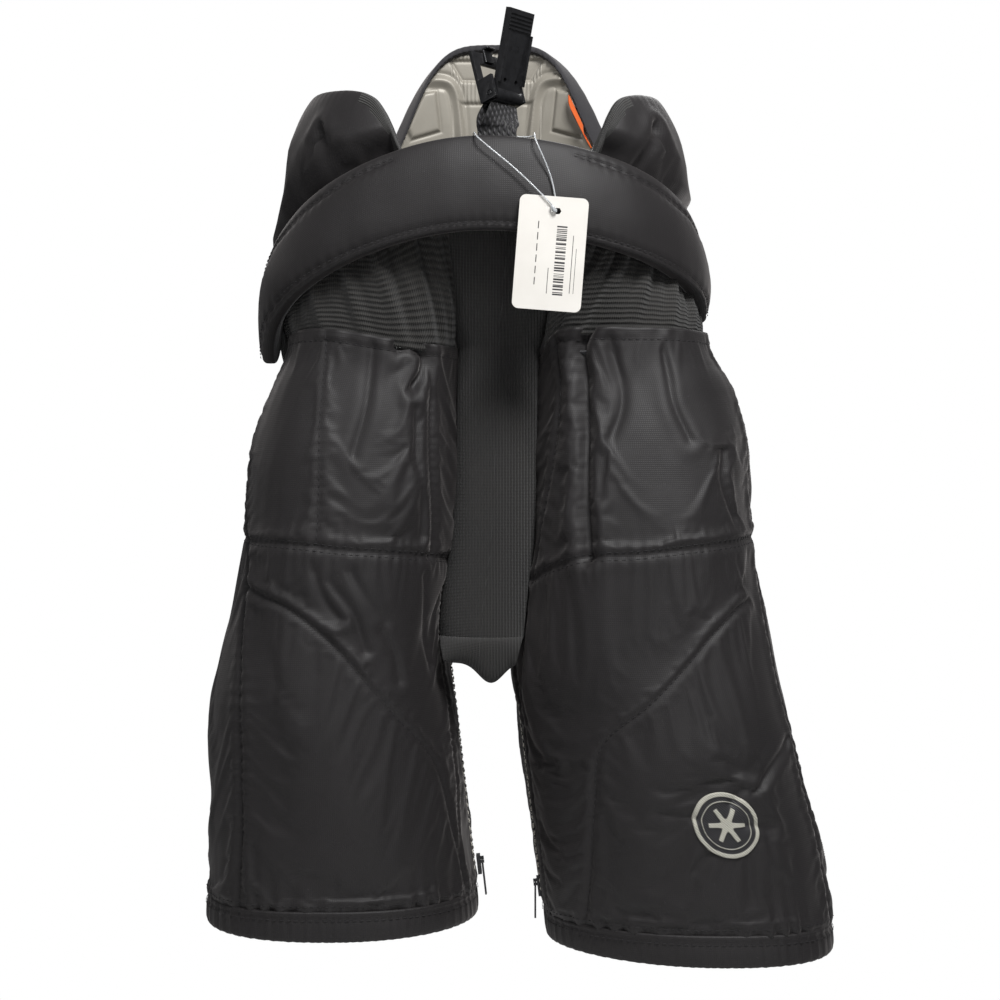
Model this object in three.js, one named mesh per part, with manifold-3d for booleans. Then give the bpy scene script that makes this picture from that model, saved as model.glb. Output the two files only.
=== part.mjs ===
// Padded ice hockey pants, hung up by the open buckle of their belt.
// Millimetres, +Z up, front towards -Y, the wearer's left towards +X.
// Heights are counted from the lower hem, and the finished group is moved so that the hang point is the origin.
import * as THREE from "three";
import { mergeVertices } from "three/addons/utils/BufferGeometryUtils.js";
import Module from "manifold-3d";

const wasm = await Module();
wasm.setup();

// Driving dimensions.
const GAP = 0.4; // between pieces that lie on each other
const SEAM_ANGLE = 0.2; // degrees that a panel stops short of its seam line
const SKIN = 1.6; // nylon cover cloth
const KNIT = 2; // stretch knit
const PLATE = 3; // moulded polyethylene guards
const PAD = 8.6; // foam behind a guard
const LINER = 1.2;
const HEM_HEIGHT = 17.5;
const CROTCH_HEIGHT = 225;
const CROSS_SEAM_HEIGHT = 265; // between the upper and the lower thigh panels
const LEG_HEIGHT = 395; // to the top of the nylon, where the knit begins
const BACK_LEG_DROP = 20; // the nylon ends this much lower behind
const LEG_ROUNDING = 2.5; // exponent of the superellipse sections
const LEG_DEPTH = 100; // half, front to back
const WAIST_HALF_WIDTH = 150;
const WAIST_HALF_DEPTH = 120;
const WAIST_CENTRE = [-10, 5];
const WAIST_ROUNDING = 2.5;
const BELT_RISE = 68; // the belt pad's lower edge above the legs, in front
const BELT_HEIGHT = 60;
const BELT_SKIN = 1.4;
const BELT_FOAM = 11;
const BELT_END_ANGLE = 92;
const WING_PAD = 13;
const WING_FRONT_ANGLE = 38;
const SPINE_CENTRE_ANGLE = 175;
const SPINE_HALF_ANGLE = 41;
const SPINE_RISE = 232; // the back's peak above the legs
const SPINE_SHOULDER_DROP = 58;
const BACK_FOAM = 9.6;
const BACK_LINER = 3.6;
const BACK_BOTTOM_RISE = 5;
const WEBBING_WIDTH = 25;
const WEBBING_THICKNESS = 1.6;
const BUCKLE_YAW = 50; // degrees that the hanging buckle has turned
const FRAME_TILT = -17;
const LEVER_TILT = 13;
const FRAME_LENGTH = 32;
const LEVER_LENGTH = 54;
const PIN_RADIUS = 1.5;
const ZIP_BOTTOM = 24;
const ZIP_TOP = 185;
const ZIP_HALF_ANGLE = 3.4;
const TAG_WIDTH = 43;
const TAG_HEIGHT = 71;
const TAG_LOOP_RADIUS = 0.5;
const BADGE_RADIUS = 21;

// Each leg: heights above the hem with the distance of its outer and inner sides from the middle plane.
// The inner side is one straight line up to the crotch, because the zip runs along it.
const UPPER_THIGH_HEIGHT = (CROSS_SEAM_HEIGHT + LEG_HEIGHT) / 2;
const TUCK_HEIGHT = LEG_HEIGHT - 15;
const LEG_LEVELS = [0, HEM_HEIGHT, 60, 120, 165, 200, CROTCH_HEIGHT, CROSS_SEAM_HEIGHT];
LEG_LEVELS.push(UPPER_THIGH_HEIGHT, TUCK_HEIGHT, LEG_HEIGHT);
const LEG_DEPTH_FLARE = [0, 0, 2, 4, 4, 2, 1, 0, -9, -20, -22]; // how much deeper than LEG_DEPTH at those heights
const LEGS = {
  right: {
    side: -1,
    lift: 12,
    behind: 14,
    shear: 0.06,
    outer: [199, 198, 197, 194, 191, 186, 181, 172, 163, 147, 139],
    inner: [15, 16.9, 21.7, 28.3, 33.3, 37.2, 36, 32, 30, 30, 30],
  },
  left: {
    side: 1,
    lift: 0,
    behind: -4,
    shear: 0.2,
    outer: [220, 219, 214, 200, 190.5, 181, 175, 165, 160, 143, 124],
    inner: [32, 29.9, 24.8, 17.6, 12.2, 8, 12, 20, 24, 27, 28],
  },
};

// The waist ring: rise above the legs, and how much narrower or wider and shallower or deeper it is than at the belt.
const WAIST_LEVELS = [-15, 45, 105, 145, 175, SPINE_RISE];
const WAIST_FLARE = [5, 0, -13, -19, -33, -45];
const WAIST_DEPTH_FLARE = [2, 0, -4, -8, -11, -17];

const radians = THREE.MathUtils.degToRad;
const lerp = THREE.MathUtils.lerp;
const smooth = (x) => THREE.MathUtils.smoothstep(x, 0, 1);

const part = new THREE.Group();
const materials = {
  nylon: new THREE.MeshStandardMaterial({ color: 0x26252a, roughness: 0.55, metalness: 0 }),
  knit: new THREE.MeshStandardMaterial({ color: 0x23221f, roughness: 0.95, metalness: 0 }),
  lining: new THREE.MeshStandardMaterial({ color: 0x2c2b2e, roughness: 0.85, metalness: 0 }),
  foam: new THREE.MeshStandardMaterial({ color: 0x8a8a88, roughness: 1, metalness: 0 }),
  guard: new THREE.MeshStandardMaterial({ color: 0xd8d6cf, roughness: 0.45, metalness: 0 }),
  backLiner: new THREE.MeshStandardMaterial({ color: 0xa9a6a1, roughness: 0.6, metalness: 0 }),
  binding: new THREE.MeshStandardMaterial({ color: 0x3a393b, roughness: 0.8, metalness: 0 }),
  plastic: new THREE.MeshStandardMaterial({ color: 0x121213, roughness: 0.35, metalness: 0 }),
  steel: new THREE.MeshStandardMaterial({ color: 0x9a9a9c, roughness: 0.3, metalness: 1 }),
  card: new THREE.MeshStandardMaterial({ color: 0xf1efec, roughness: 0.7, metalness: 0 }),
  filament: new THREE.MeshStandardMaterial({ color: 0xd9dadb, roughness: 0.2, metalness: 0 }),
  orange: new THREE.MeshStandardMaterial({ color: 0xe4642a, roughness: 0.8, metalness: 0 }),
  embroidery: new THREE.MeshStandardMaterial({ color: 0xb9b7a8, roughness: 0.8, metalness: 0 }),
};

function add(name, geometry, material, group = part) {
  const mesh = new THREE.Mesh(geometry, materials[material]);
  mesh.name = name;
  group.add(mesh);
}

// Straight-line reading of a column of values against rising levels, held level past both ends.
function along(levels, values, at) {
  if (at <= levels[0]) return values[0];
  const next = levels.findIndex((level) => level >= at);
  if (next < 0) return values[values.length - 1];
  const share = (at - levels[next - 1]) / (levels[next] - levels[next - 1]);
  return lerp(values[next - 1], values[next], share);
}

// The point of a superellipse in a given direction, moved outwards by an offset.
function oval(halfWidth, halfDepth, rounding, across, forward, offset) {
  const size = (Math.abs(across / halfWidth) ** rounding + Math.abs(forward / halfDepth) ** rounding) ** (1 / rounding);
  const x = across / size;
  const y = forward / size;
  const nx = (Math.sign(x) * Math.abs(x) ** (rounding - 1)) / halfWidth ** rounding;
  const ny = (Math.sign(y) * Math.abs(y) ** (rounding - 1)) / halfDepth ** rounding;
  const length = Math.hypot(nx, ny);
  return [x + (nx / length) * offset, y + (ny / length) * offset];
}

// A point of a leg: angle 0 at the outer side, 90 in front, 180 at the inner side, 270 behind.
function legPoint(leg, angle, height, offset) {
  const outer = along(LEG_LEVELS, leg.outer, height);
  const inner = along(LEG_LEVELS, leg.inner, height);
  const t = radians(angle);
  const halfDepth = LEG_DEPTH + along(LEG_LEVELS, LEG_DEPTH_FLARE, height);
  const [x, y] = oval((outer - inner) / 2, halfDepth, LEG_ROUNDING, Math.cos(t), -Math.sin(t), offset);
  const hang = Math.max(0, 1 - height / LEG_HEIGHT);
  const outwards = (outer + inner) / 2 + x - (leg.shear * hang * y * Math.abs(y)) / LEG_DEPTH;
  return [leg.side * outwards, y + leg.behind * hang, height + leg.lift * hang];
}

// A point of the waist ring: angle 0 in front, 90 at the wearer's left, 180 behind.
function waistPoint(angle, rise, offset) {
  const halfWidth = WAIST_HALF_WIDTH + along(WAIST_LEVELS, WAIST_FLARE, rise);
  const halfDepth = WAIST_HALF_DEPTH + along(WAIST_LEVELS, WAIST_DEPTH_FLARE, rise);
  const t = radians(angle);
  const [x, y] = oval(halfWidth, halfDepth, WAIST_ROUNDING, Math.sin(t), -Math.cos(t), offset);
  return [WAIST_CENTRE[0] + x, WAIST_CENTRE[1] + y, LEG_HEIGHT + rise];
}

// The values from low to high with every multiple of step, or every listed level, between them.
function marks(low, high, between) {
  const inside = Array.isArray(between)
    ? between
    : Array.from({ length: 1 + Math.ceil((high - low) / between) }, (_, i) => (Math.floor(low / between) + 1 + i) * between);
  return [low, ...inside.filter((m) => m > low + 0.05 * (high - low) / 10 && m < high - 0.05 * (high - low) / 10), high];
}

// A closed shell between two offsets of a surface place(column, row, offset) over a grid.
function shell(place, columns, rows, inside, outside) {
  const positions = [];
  for (const offset of [outside, inside])
    for (const row of rows) for (const column of columns) positions.push(...place(column, row, offset));
  const wide = columns.length;
  const layer = wide * rows.length;
  const faces = [];
  const quad = (a, b, c, d) => faces.push(a, b, c, a, c, d);
  for (let r = 0; r + 1 < rows.length; r++)
    for (let c = 0; c + 1 < wide; c++) {
      const at = r * wide + c;
      quad(at, at + 1, at + wide + 1, at + wide);
      faces.push(layer + at, layer + at + wide + 1, layer + at + 1);
      faces.push(layer + at, layer + at + wide, layer + at + wide + 1);
    }
  for (let c = 0; c + 1 < wide; c++) {
    const top = (rows.length - 1) * wide + c;
    quad(c, layer + c, layer + c + 1, c + 1);
    quad(top + 1, layer + top + 1, layer + top, top);
  }
  for (let r = 0; r + 1 < rows.length; r++) {
    const left = r * wide;
    const right = left + wide - 1;
    quad(left + wide, layer + left + wide, layer + left, left);
    quad(right, layer + right, layer + right + wide, right + wide);
  }
  const geometry = new THREE.BufferGeometry();
  geometry.setAttribute("position", new THREE.Float32BufferAttribute(positions, 3));
  geometry.setIndex(volume(positions, faces) < 0 ? faces.reverse() : faces);
  return geometry;
}

function volume(positions, faces) {
  const corner = (i) => new THREE.Vector3().fromArray(positions, 3 * faces[i]);
  let sum = 0;
  for (let i = 0; i < faces.length; i += 3) sum += corner(i).dot(corner(i + 1).cross(corner(i + 2)));
  return sum;
}

const legPiece = (leg, from, to, low, high, inside, outside, step = 15) =>
  shell(
    (angle, height, offset) => legPoint(leg, angle, height, offset),
    marks(from + SEAM_ANGLE, to - SEAM_ANGLE, step),
    marks(low, high, LEG_LEVELS),
    inside,
    outside,
  );

// Solids for the few joins and cuts.
function solid(geometry) {
  const bare = geometry.clone();
  bare.deleteAttribute("normal");
  bare.deleteAttribute("uv");
  const merged = mergeVertices(bare, 1e-4);
  const triVerts = new Uint32Array(merged.index.array);
  return new wasm.Manifold(new wasm.Mesh({ numProp: 3, vertProperties: merged.attributes.position.array, triVerts }));
}

function geometryOf(made) {
  const mesh = made.getMesh();
  const geometry = new THREE.BufferGeometry();
  geometry.setAttribute("position", new THREE.BufferAttribute(new Float32Array(mesh.vertProperties), 3));
  geometry.setIndex(new THREE.BufferAttribute(new Uint32Array(mesh.triVerts), 1));
  return geometry;
}

// A box from its low corner to its high corner, and a rod along X.
function block(low, high) {
  const size = low.map((value, i) => high[i] - value);
  const box = new THREE.BoxGeometry(...size);
  return solid(box.translate(...low.map((value, i) => value + size[i] / 2)));
}

function rod(radius, length, y = 0, z = 0) {
  const cylinder = new THREE.CylinderGeometry(radius, radius, length, 16);
  return solid(cylinder.rotateZ(Math.PI / 2).translate(0, y, z));
}

// ---- The legs ----
const PLATE_OUTSIDE = -(SKIN + GAP);
const PAD_OUTSIDE = PLATE_OUTSIDE - PLATE - GAP;
const PAD_INSIDE = PAD_OUTSIDE - PAD;
const LINER_OUTSIDE = PAD_INSIDE - 0.7;
const FRONT_OUTER = 45;
const FRONT_INNER = 150;
const SIDE_BACK = -30;
const BACK_INNER = 210;
const NYLON_BOTTOM = HEM_HEIGHT + GAP;
const LEG_BACK_TOP = LEG_HEIGHT - BACK_LEG_DROP;

function buildLeg(name, leg) {
  const cover = (piece, from, to, low, high) => add(`${piece}_${name}`, legPiece(leg, from, to, low, high, -SKIN, 0), "nylon");
  cover("front_upper_panel", FRONT_OUTER, FRONT_INNER, CROSS_SEAM_HEIGHT + GAP, LEG_HEIGHT);
  cover("front_lower_panel", FRONT_OUTER, FRONT_INNER, NYLON_BOTTOM, CROSS_SEAM_HEIGHT);
  cover("side_panel", SIDE_BACK, FRONT_OUTER, NYLON_BOTTOM, LEG_HEIGHT);
  cover("back_panel", BACK_INNER, 360 + SIDE_BACK, NYLON_BOTTOM, LEG_BACK_TOP);
  cover("inner_front_panel", FRONT_INNER, 180 - ZIP_HALF_ANGLE, NYLON_BOTTOM, CROTCH_HEIGHT);
  cover("inner_back_panel", 180 + ZIP_HALF_ANGLE, BACK_INNER, NYLON_BOTTOM, CROTCH_HEIGHT);

  const plate = legPiece(leg, FRONT_OUTER + 15, FRONT_INNER - 15, 60, TUCK_HEIGHT, PLATE_OUTSIDE - PLATE, PLATE_OUTSIDE);
  add(`thigh_guard_plate_${name}`, plate, "guard");
  const pad = legPiece(leg, FRONT_OUTER, FRONT_INNER, NYLON_BOTTOM + 12, LEG_HEIGHT - 5, PAD_INSIDE, PAD_OUTSIDE);
  add(`thigh_guard_foam_${name}`, pad, "foam");
  const hip = legPiece(leg, SIDE_BACK, FRONT_OUTER, 165, LEG_HEIGHT - 2, PAD_INSIDE, PLATE_OUTSIDE);
  add(`hip_guard_foam_${name}`, hip, "foam");
  const liner = legPiece(leg, BACK_INNER - 360, FRONT_INNER, NYLON_BOTTOM, LEG_BACK_TOP - 5, LINER_OUTSIDE - LINER, LINER_OUTSIDE);
  add(`leg_liner_${name}`, liner, "lining");
  const hem = legPiece(leg, -180 + ZIP_HALF_ANGLE, 180 - ZIP_HALF_ANGLE, 0, HEM_HEIGHT, -3.4, 0.6);
  add(`hem_band_${name}`, hem, "nylon");

  // The zip: a straight chain up the inner side, a slider on it and a pull that hangs from the slider.
  const chain = shell(
    (across, height, offset) => legPoint(leg, 180 + across, height, offset),
    [-ZIP_HALF_ANGLE + 0.4, ZIP_HALF_ANGLE - 0.4],
    [ZIP_BOTTOM, ZIP_TOP],
    -1.1,
    1.1,
  );
  add(`zip_chain_${name}`, chain, "plastic");
  const low = new THREE.Vector3(...legPoint(leg, 180, ZIP_BOTTOM, 0));
  const high = new THREE.Vector3(...legPoint(leg, 180, ZIP_TOP, 0));
  const zip = new THREE.Group();
  zip.position.copy(low);
  const up = high.clone().sub(low).normalize();
  const out = new THREE.Vector3(-leg.side, 0, 0);
  const across = new THREE.Vector3().crossVectors(out, up).normalize();
  out.crossVectors(up, across);
  zip.quaternion.setFromRotationMatrix(new THREE.Matrix4().makeBasis(across, out, up));
  part.add(zip);
  const face = 1.1 + GAP;
  const body = block([-4.2, face, 2], [4.2, face + 2.6, 15]);
  const bridge = block([-1.1, face + 2, 9], [1.1, face + 5, 13.5]);
  const eye = rod(0.95, 8, face + 3.7, 11.2);
  add(`zip_slider_${name}`, geometryOf(body.add(bridge).subtract(eye)), "steel", zip);
  // The pull turns on the eye of the slider's bridge.
  const pull = new THREE.Group();
  pull.position.set(0, face + 3.7, 11.2);
  pull.rotation.x = leg.side > 0 ? Math.acos(up.z) : 0;
  zip.add(pull);
  const cheeks = block([-2.6, -0.6, -24], [2.6, 0.6, 0.85]);
  const window = block([-1.5, -1, -4], [1.5, 1, 3]);
  const axle = rod(0.6, 4.4);
  add(`zip_pull_${name}`, geometryOf(cheeks.subtract(window).add(axle)), "steel", pull);
}
for (const [name, leg] of Object.entries(LEGS)) buildLeg(name, leg);

// A round badge on the left thigh, bent to the cloth.
const BADGE_ANGLE = 84;
const BADGE_HEIGHT = 88;
const badgeMarks = [-1, -0.75, -0.5, -0.25, 0, 0.25, 0.5, 0.75, 1];
const badge = shell(
  (a, b, offset) => {
    const x = a * Math.sqrt(1 - (b * b) / 2) * BADGE_RADIUS;
    const z = b * Math.sqrt(1 - (a * a) / 2) * BADGE_RADIUS;
    return legPoint(LEGS.left, BADGE_ANGLE - THREE.MathUtils.radToDeg(x / LEG_DEPTH), BADGE_HEIGHT + z, offset);
  },
  badgeMarks,
  badgeMarks,
  0.5,
  1.7,
);
add("thigh_badge", badge, "embroidery");

// ---- The belt pad in front ----
const BELT_END_DROP = { right: 78, left: 50 };
const beltSide = (angle) => (angle < 0 ? BELT_END_DROP.right : BELT_END_DROP.left);
const beltDrop = (angle) => beltSide(angle) * (1 - Math.cos(radians(angle)));
const beltLow = (angle) => BELT_RISE - beltDrop(angle);
const BELT_DEPTH = 2 * BELT_SKIN + BELT_FOAM + 2 * GAP;

function beltLayer(inside, outside, trim) {
  const place = (angle, share, offset) =>
    waistPoint(angle, beltLow(angle) + trim + share * (BELT_HEIGHT - 2 * trim), offset);
  return shell(place, marks(-BELT_END_ANGLE, BELT_END_ANGLE, 10), [0, 0.33, 0.67, 1], inside, outside);
}
add("front_belt_cover", beltLayer(-BELT_SKIN, 0, 0), "nylon");
add("front_belt_foam", beltLayer(-BELT_SKIN - GAP - BELT_FOAM, -BELT_SKIN - GAP, 2), "foam");
add("front_belt_lining", beltLayer(-BELT_DEPTH, -BELT_DEPTH + BELT_SKIN, 0), "lining");

// ---- The kidney wings at both sides ----
const WING_SETBACK = BELT_DEPTH + 1; // the wings pass inside the belt pad
const WING_LOW_FRONT = 68;
const WING_LOW_BACK = 22;
const WING_TOP = 176;
const WING_FRONT_TOP = 137;
const wingLow = (angle) => along([50, 90, 140], [WING_LOW_FRONT, 32, WING_LOW_BACK], Math.abs(angle));
const besideBelt = (angle) => 1 - smooth((Math.abs(angle) - BELT_END_ANGLE - 5) / 12);

function wingLayer(sign, backAngle, inside, outside, trim) {
  const rim = (angle) => {
    const share = (Math.abs(angle) - WING_FRONT_ANGLE) / (backAngle - WING_FRONT_ANGLE);
    const rounded = Math.min(1, Math.max(0, share) / 0.36) ** 0.55;
    return lerp(WING_FRONT_TOP, WING_TOP, rounded) - 14 * smooth((share - 0.72) / 0.28);
  };
  // Up to the belt's top edge a wing is set back inside the belt, and above it the wing swells out again.
  const place = (angle, row, offset) => {
    const low = wingLow(angle);
    const high = rim(angle);
    const edge = Math.min(beltLow(sign * angle) + BELT_HEIGHT + 1, high - 12);
    const swell = Math.min(edge + 14, high - 6);
    const rises = [low + trim, (low + edge) / 2, edge, swell, (swell + high) / 2, high - trim];
    const setback = [1, 1, 1, 0.25, 0, 0][row] * WING_SETBACK * besideBelt(angle);
    return waistPoint(sign * angle, rises[row], offset - setback);
  };
  return shell(place, marks(WING_FRONT_ANGLE, backAngle, 10), [0, 1, 2, 3, 4, 5], inside, outside);
}
const WING_BACK_ANGLES = {
  right: 360 - SPINE_CENTRE_ANGLE - SPINE_HALF_ANGLE,
  left: SPINE_CENTRE_ANGLE - SPINE_HALF_ANGLE,
};
for (const [name, leg] of Object.entries(LEGS)) {
  const backAngle = WING_BACK_ANGLES[name] - 0.3;
  add(`kidney_wing_cover_${name}`, wingLayer(leg.side, backAngle, -SKIN, 0, 0), "nylon");
  add(`kidney_wing_foam_${name}`, wingLayer(leg.side, backAngle, -SKIN - 0.6 - WING_PAD, -SKIN - 0.6, 2), "foam");
}

// ---- The back: cover, spine guard, foam and the moulded liner that faces the wearer ----
const spineTop = (angle) => SPINE_RISE - SPINE_SHOULDER_DROP * ((angle - SPINE_CENTRE_ANGLE) / SPINE_HALF_ANGLE) ** 2;

function spineLayer(inside, outside, sideTrim, bottomTrim, topTrim) {
  const from = SPINE_CENTRE_ANGLE - SPINE_HALF_ANGLE + sideTrim;
  const to = SPINE_CENTRE_ANGLE + SPINE_HALF_ANGLE - sideTrim;
  const place = (angle, share, offset) =>
    waistPoint(angle, lerp(BACK_BOTTOM_RISE + bottomTrim, spineTop(angle) - topTrim, share), offset);
  return shell(place, marks(from, to, 10), [0, 0.25, 0.5, 0.75, 1], inside, outside);
}
const SPINE_PLATE_OUTSIDE = -(SKIN + 0.8);
const BACK_FOAM_OUTSIDE = SPINE_PLATE_OUTSIDE - PLATE - 0.8;
const BACK_LINER_OUTSIDE = BACK_FOAM_OUTSIDE - BACK_FOAM - 0.6;
const BACK_INSIDE = BACK_LINER_OUTSIDE - BACK_LINER;
add("back_cover", spineLayer(-SKIN, 0, 0, 0, 0), "nylon");
add("spine_guard_plate", spineLayer(SPINE_PLATE_OUTSIDE - PLATE, SPINE_PLATE_OUTSIDE, 6, 30, 14), "guard");
add("back_foam", spineLayer(BACK_FOAM_OUTSIDE - BACK_FOAM, BACK_FOAM_OUTSIDE, 0.4, 1, 2), "foam");
add("back_liner", spineLayer(BACK_INSIDE, BACK_LINER_OUTSIDE, 0, 20, 0), "backLiner");

const BINDING_HEIGHT = 3;
const BINDING_GAP = 0.8;
const bindingAngles = marks(SPINE_CENTRE_ANGLE - SPINE_HALF_ANGLE, SPINE_CENTRE_ANGLE + SPINE_HALF_ANGLE, 10);
const binding = shell(
  (angle, rise, offset) => waistPoint(angle, spineTop(angle) + BINDING_GAP + rise, offset),
  bindingAngles,
  [0, BINDING_HEIGHT],
  BACK_INSIDE - 0.6,
  0.6,
);
add("back_liner_binding", binding, "binding");

// A folded fabric tab at the liner's edge.
const TAB_ANGLE = SPINE_CENTRE_ANGLE - 31;
const tabTop = spineTop(TAB_ANGLE) - 11;
const tab = shell(
  (across, rise, offset) => waistPoint(TAB_ANGLE + across, tabTop + rise, offset),
  [-4, 0, 4],
  [-20, 0],
  BACK_INSIDE - GAP - 2,
  BACK_INSIDE - GAP,
);
add("liner_tab", tab, "orange");

// The tailbone pad hangs under the back's foam, between the legs.
const TAILBONE_HEIGHT = 96;
const tailbone = shell(
  (x, rise, offset) => [x, waistPoint(180, 0, offset)[1], LEG_HEIGHT + rise],
  [-26, -4, 18],
  [BACK_BOTTOM_RISE - TAILBONE_HEIGHT, BACK_BOTTOM_RISE + 1 - GAP],
  BACK_FOAM_OUTSIDE - BACK_FOAM + 0.5,
  BACK_FOAM_OUTSIDE - 0.5,
);
add("tailbone_guard", tailbone, "foam");

// ---- Stretch knit between the waist and the legs ----
// The waist ring's angle that a point looks out to.
const angleOf = ([x, y]) => THREE.MathUtils.radToDeg(Math.atan2(x - WAIST_CENTRE[0], WAIST_CENTRE[1] - y));
// The ring's angle straight in front of, or behind, a point near the middle.
const angleAt = (x, towards) => angleOf([x, WAIST_CENTRE[1] + towards * 0.95 * WAIST_HALF_DEPTH]);
const KNIT_OUTSIDE = -(BELT_DEPTH + 1);
const KNIT_BELOW_WING = 2.6;
const knitTop = (angle) => along([24, 36], [86, wingLow(angle) - KNIT_BELOW_WING], Math.abs(angle));

// A web of knit from a leg's top edge up to a height in the ring.
function yoke(leg, from, to, bottom, rows, topRise, offsetAtTop) {
  const inFront = to < 180;
  const sideAngle = angleOf(legPoint(leg, inFront ? from : to, bottom, 0));
  const middleAngle = angleAt(legPoint(leg, inFront ? to : from, bottom, 0)[0], inFront ? -1 : 1);
  const place = (angle, share, offset) => {
    const low = legPoint(leg, angle, bottom, offset);
    const towards = (angle - from) / (to - from);
    const facing = lerp(sideAngle, middleAngle, inFront ? towards : 1 - towards);
    const high = waistPoint(facing, topRise(facing), offset + offsetAtTop);
    return [0, 1, 2].map((i) => lerp(low[i], high[i], share));
  };
  return shell(place, marks(from, to, 15), rows, -KNIT, 0);
}
for (const [name, leg] of Object.entries(LEGS)) {
  const front = yoke(leg, SIDE_BACK, FRONT_INNER - 2, LEG_HEIGHT + GAP, [0, 0.33, 0.67, 1], knitTop, KNIT_OUTSIDE);
  add(`hip_knit_${name}`, front, "knit");
  const seatTop = () => BACK_BOTTOM_RISE - GAP;
  const seat = yoke(leg, BACK_INNER, 360 + SIDE_BACK - 1, LEG_BACK_TOP + GAP, [0, 0.5, 1], seatTop, BACK_FOAM_OUTSIDE);
  add(`seat_knit_${name}`, seat, "knit");
}

// The fly: knit between the two front panels, bulging forwards, in a right and a left half.
const FLY_BULGE = 20;
const flyHeights = [CROTCH_HEIGHT - 8, CROSS_SEAM_HEIGHT, UPPER_THIGH_HEIGHT, LEG_HEIGHT, LEG_HEIGHT + 42, LEG_HEIGHT + 86];
function flyPoint(share, height, offset) {
  const [right, left] = [LEGS.right, LEGS.left].map((leg) =>
    legPoint(leg, FRONT_INNER + 0.5, Math.min(height, LEG_HEIGHT), 0),
  );
  const bulge = FLY_BULGE * Math.sin(Math.PI * share);
  const low = [lerp(right[0], left[0], share), lerp(right[1], left[1], share) - bulge - offset, height];
  const above = Math.max(0, (height - LEG_HEIGHT) / 86);
  const high = waistPoint(angleAt(low[0], -1), height - LEG_HEIGHT, KNIT_OUTSIDE + offset);
  return [0, 1, 2].map((i) => lerp(low[i], high[i], above));
}
const halves = { right: [0.01, 0.17, 0.33, 0.495], left: [0.505, 0.67, 0.83, 0.99] };
for (const [name, shares] of Object.entries(halves))
  add(`fly_knit_${name}`, shell(flyPoint, shares, flyHeights, -KNIT, 0), "knit");

// The gusset: from the bottom of the fly, under the crotch and up behind to the tailbone.
const gussetPath = new THREE.CatmullRomCurve3(
  [
    [0, -66, CROTCH_HEIGHT - 13],
    [0, -48, CROTCH_HEIGHT - 24],
    [0, 0, CROTCH_HEIGHT - 31],
    [0, 48, CROTCH_HEIGHT - 20],
    [0, 84, CROTCH_HEIGHT + 40],
    [0, 98, LEG_BACK_TOP - 40],
    [0, 104, LEG_HEIGHT - 3],
  ].map((point) => new THREE.Vector3(...point)),
);
function gussetPoint(share, way, offset) {
  const at = gussetPath.getPointAt(way);
  const ahead = gussetPath.getTangentAt(way);
  const [right, left] = [LEGS.right, LEGS.left].map((leg) => gussetEdge(leg, at.y, Math.min(at.z, LEG_BACK_TOP)));
  return [lerp(-right, left, share), at.y + ahead.z * offset, at.z - ahead.y * offset];
}

// The gusset's edge lies just clear of the leg's inner side.
function gussetEdge(leg, y, height) {
  const shear = (leg.shear * (1 - height / LEG_HEIGHT) * y * y) / LEG_DEPTH;
  return along(LEG_LEVELS, leg.inner, height) - GAP - 0.4 - (y > 0 ? shear : 0);
}
const gussetRows = Array.from({ length: 11 }, (_, i) => i / 10);
const gussetHalves = { right: [0, 0.25, 0.49], left: [0.51, 0.75, 1] };
for (const [name, shares] of Object.entries(gussetHalves))
  add(`crotch_gusset_${name}`, shell(gussetPoint, shares, gussetRows, -KNIT, 0), "knit");

// ---- The belt webbing and its buckle ----
const beltInside = waistPoint(11, BELT_RISE + BELT_HEIGHT, -BELT_DEPTH)[1];
const BELT_TOP = LEG_HEIGHT + BELT_RISE + BELT_HEIGHT;
const PIVOT = new THREE.Vector3(1.5, beltInside + 6, BELT_TOP + 28);
const buckle = new THREE.Group();
buckle.position.copy(PIVOT);
buckle.rotation.z = radians(BUCKLE_YAW);
part.add(buckle);
const frameGroup = new THREE.Group();
frameGroup.rotation.x = radians(FRAME_TILT);
const leverGroup = new THREE.Group();
leverGroup.rotation.x = radians(LEVER_TILT);
buckle.add(frameGroup, leverGroup);

const FRAME_HALF_WIDTH = 15;
const CHEEK = 2.4;
const CAM_RADIUS = 5;
const BASE = [CAM_RADIUS + 1, CAM_RADIUS + 3.4]; // the base plate's front and back faces
const PIN_HOLE = PIN_RADIUS + 0.3;
const base = block([-FRAME_HALF_WIDTH, BASE[0], -4], [FRAME_HALF_WIDTH, BASE[1], FRAME_LENGTH]);
const cheekLeft = block([-FRAME_HALF_WIDTH, -4.5, -4], [-FRAME_HALF_WIDTH + CHEEK, BASE[1], 11]);
const cheekRight = block([FRAME_HALF_WIDTH - CHEEK, -4.5, -4], [FRAME_HALF_WIDTH, BASE[1], 11]);
const windowCut = block([-9, BASE[0] - 1, 14], [9, BASE[1] + 1, 24]);
const pinCut = rod(PIN_HOLE, 2 * FRAME_HALF_WIDTH + 2);
const frame = base.add(cheekLeft).add(cheekRight).subtract(windowCut).subtract(pinCut);
add("buckle_frame", geometryOf(frame), "plastic", frameGroup);
add("buckle_pin", geometryOf(rod(PIN_RADIUS, 2 * FRAME_HALF_WIDTH)), "steel", frameGroup);
const catchPlate = block([-4, BASE[0] - GAP - 1.2, 25.5], [4, BASE[0] - GAP, FRAME_LENGTH + 3]);
const catchLip = block([-4, BASE[0] - GAP - 4.4, FRAME_LENGTH + 1.8], [4, BASE[0] - GAP, FRAME_LENGTH + 3]);
add("buckle_catch", geometryOf(catchPlate.add(catchLip)), "steel", frameGroup);

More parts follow.
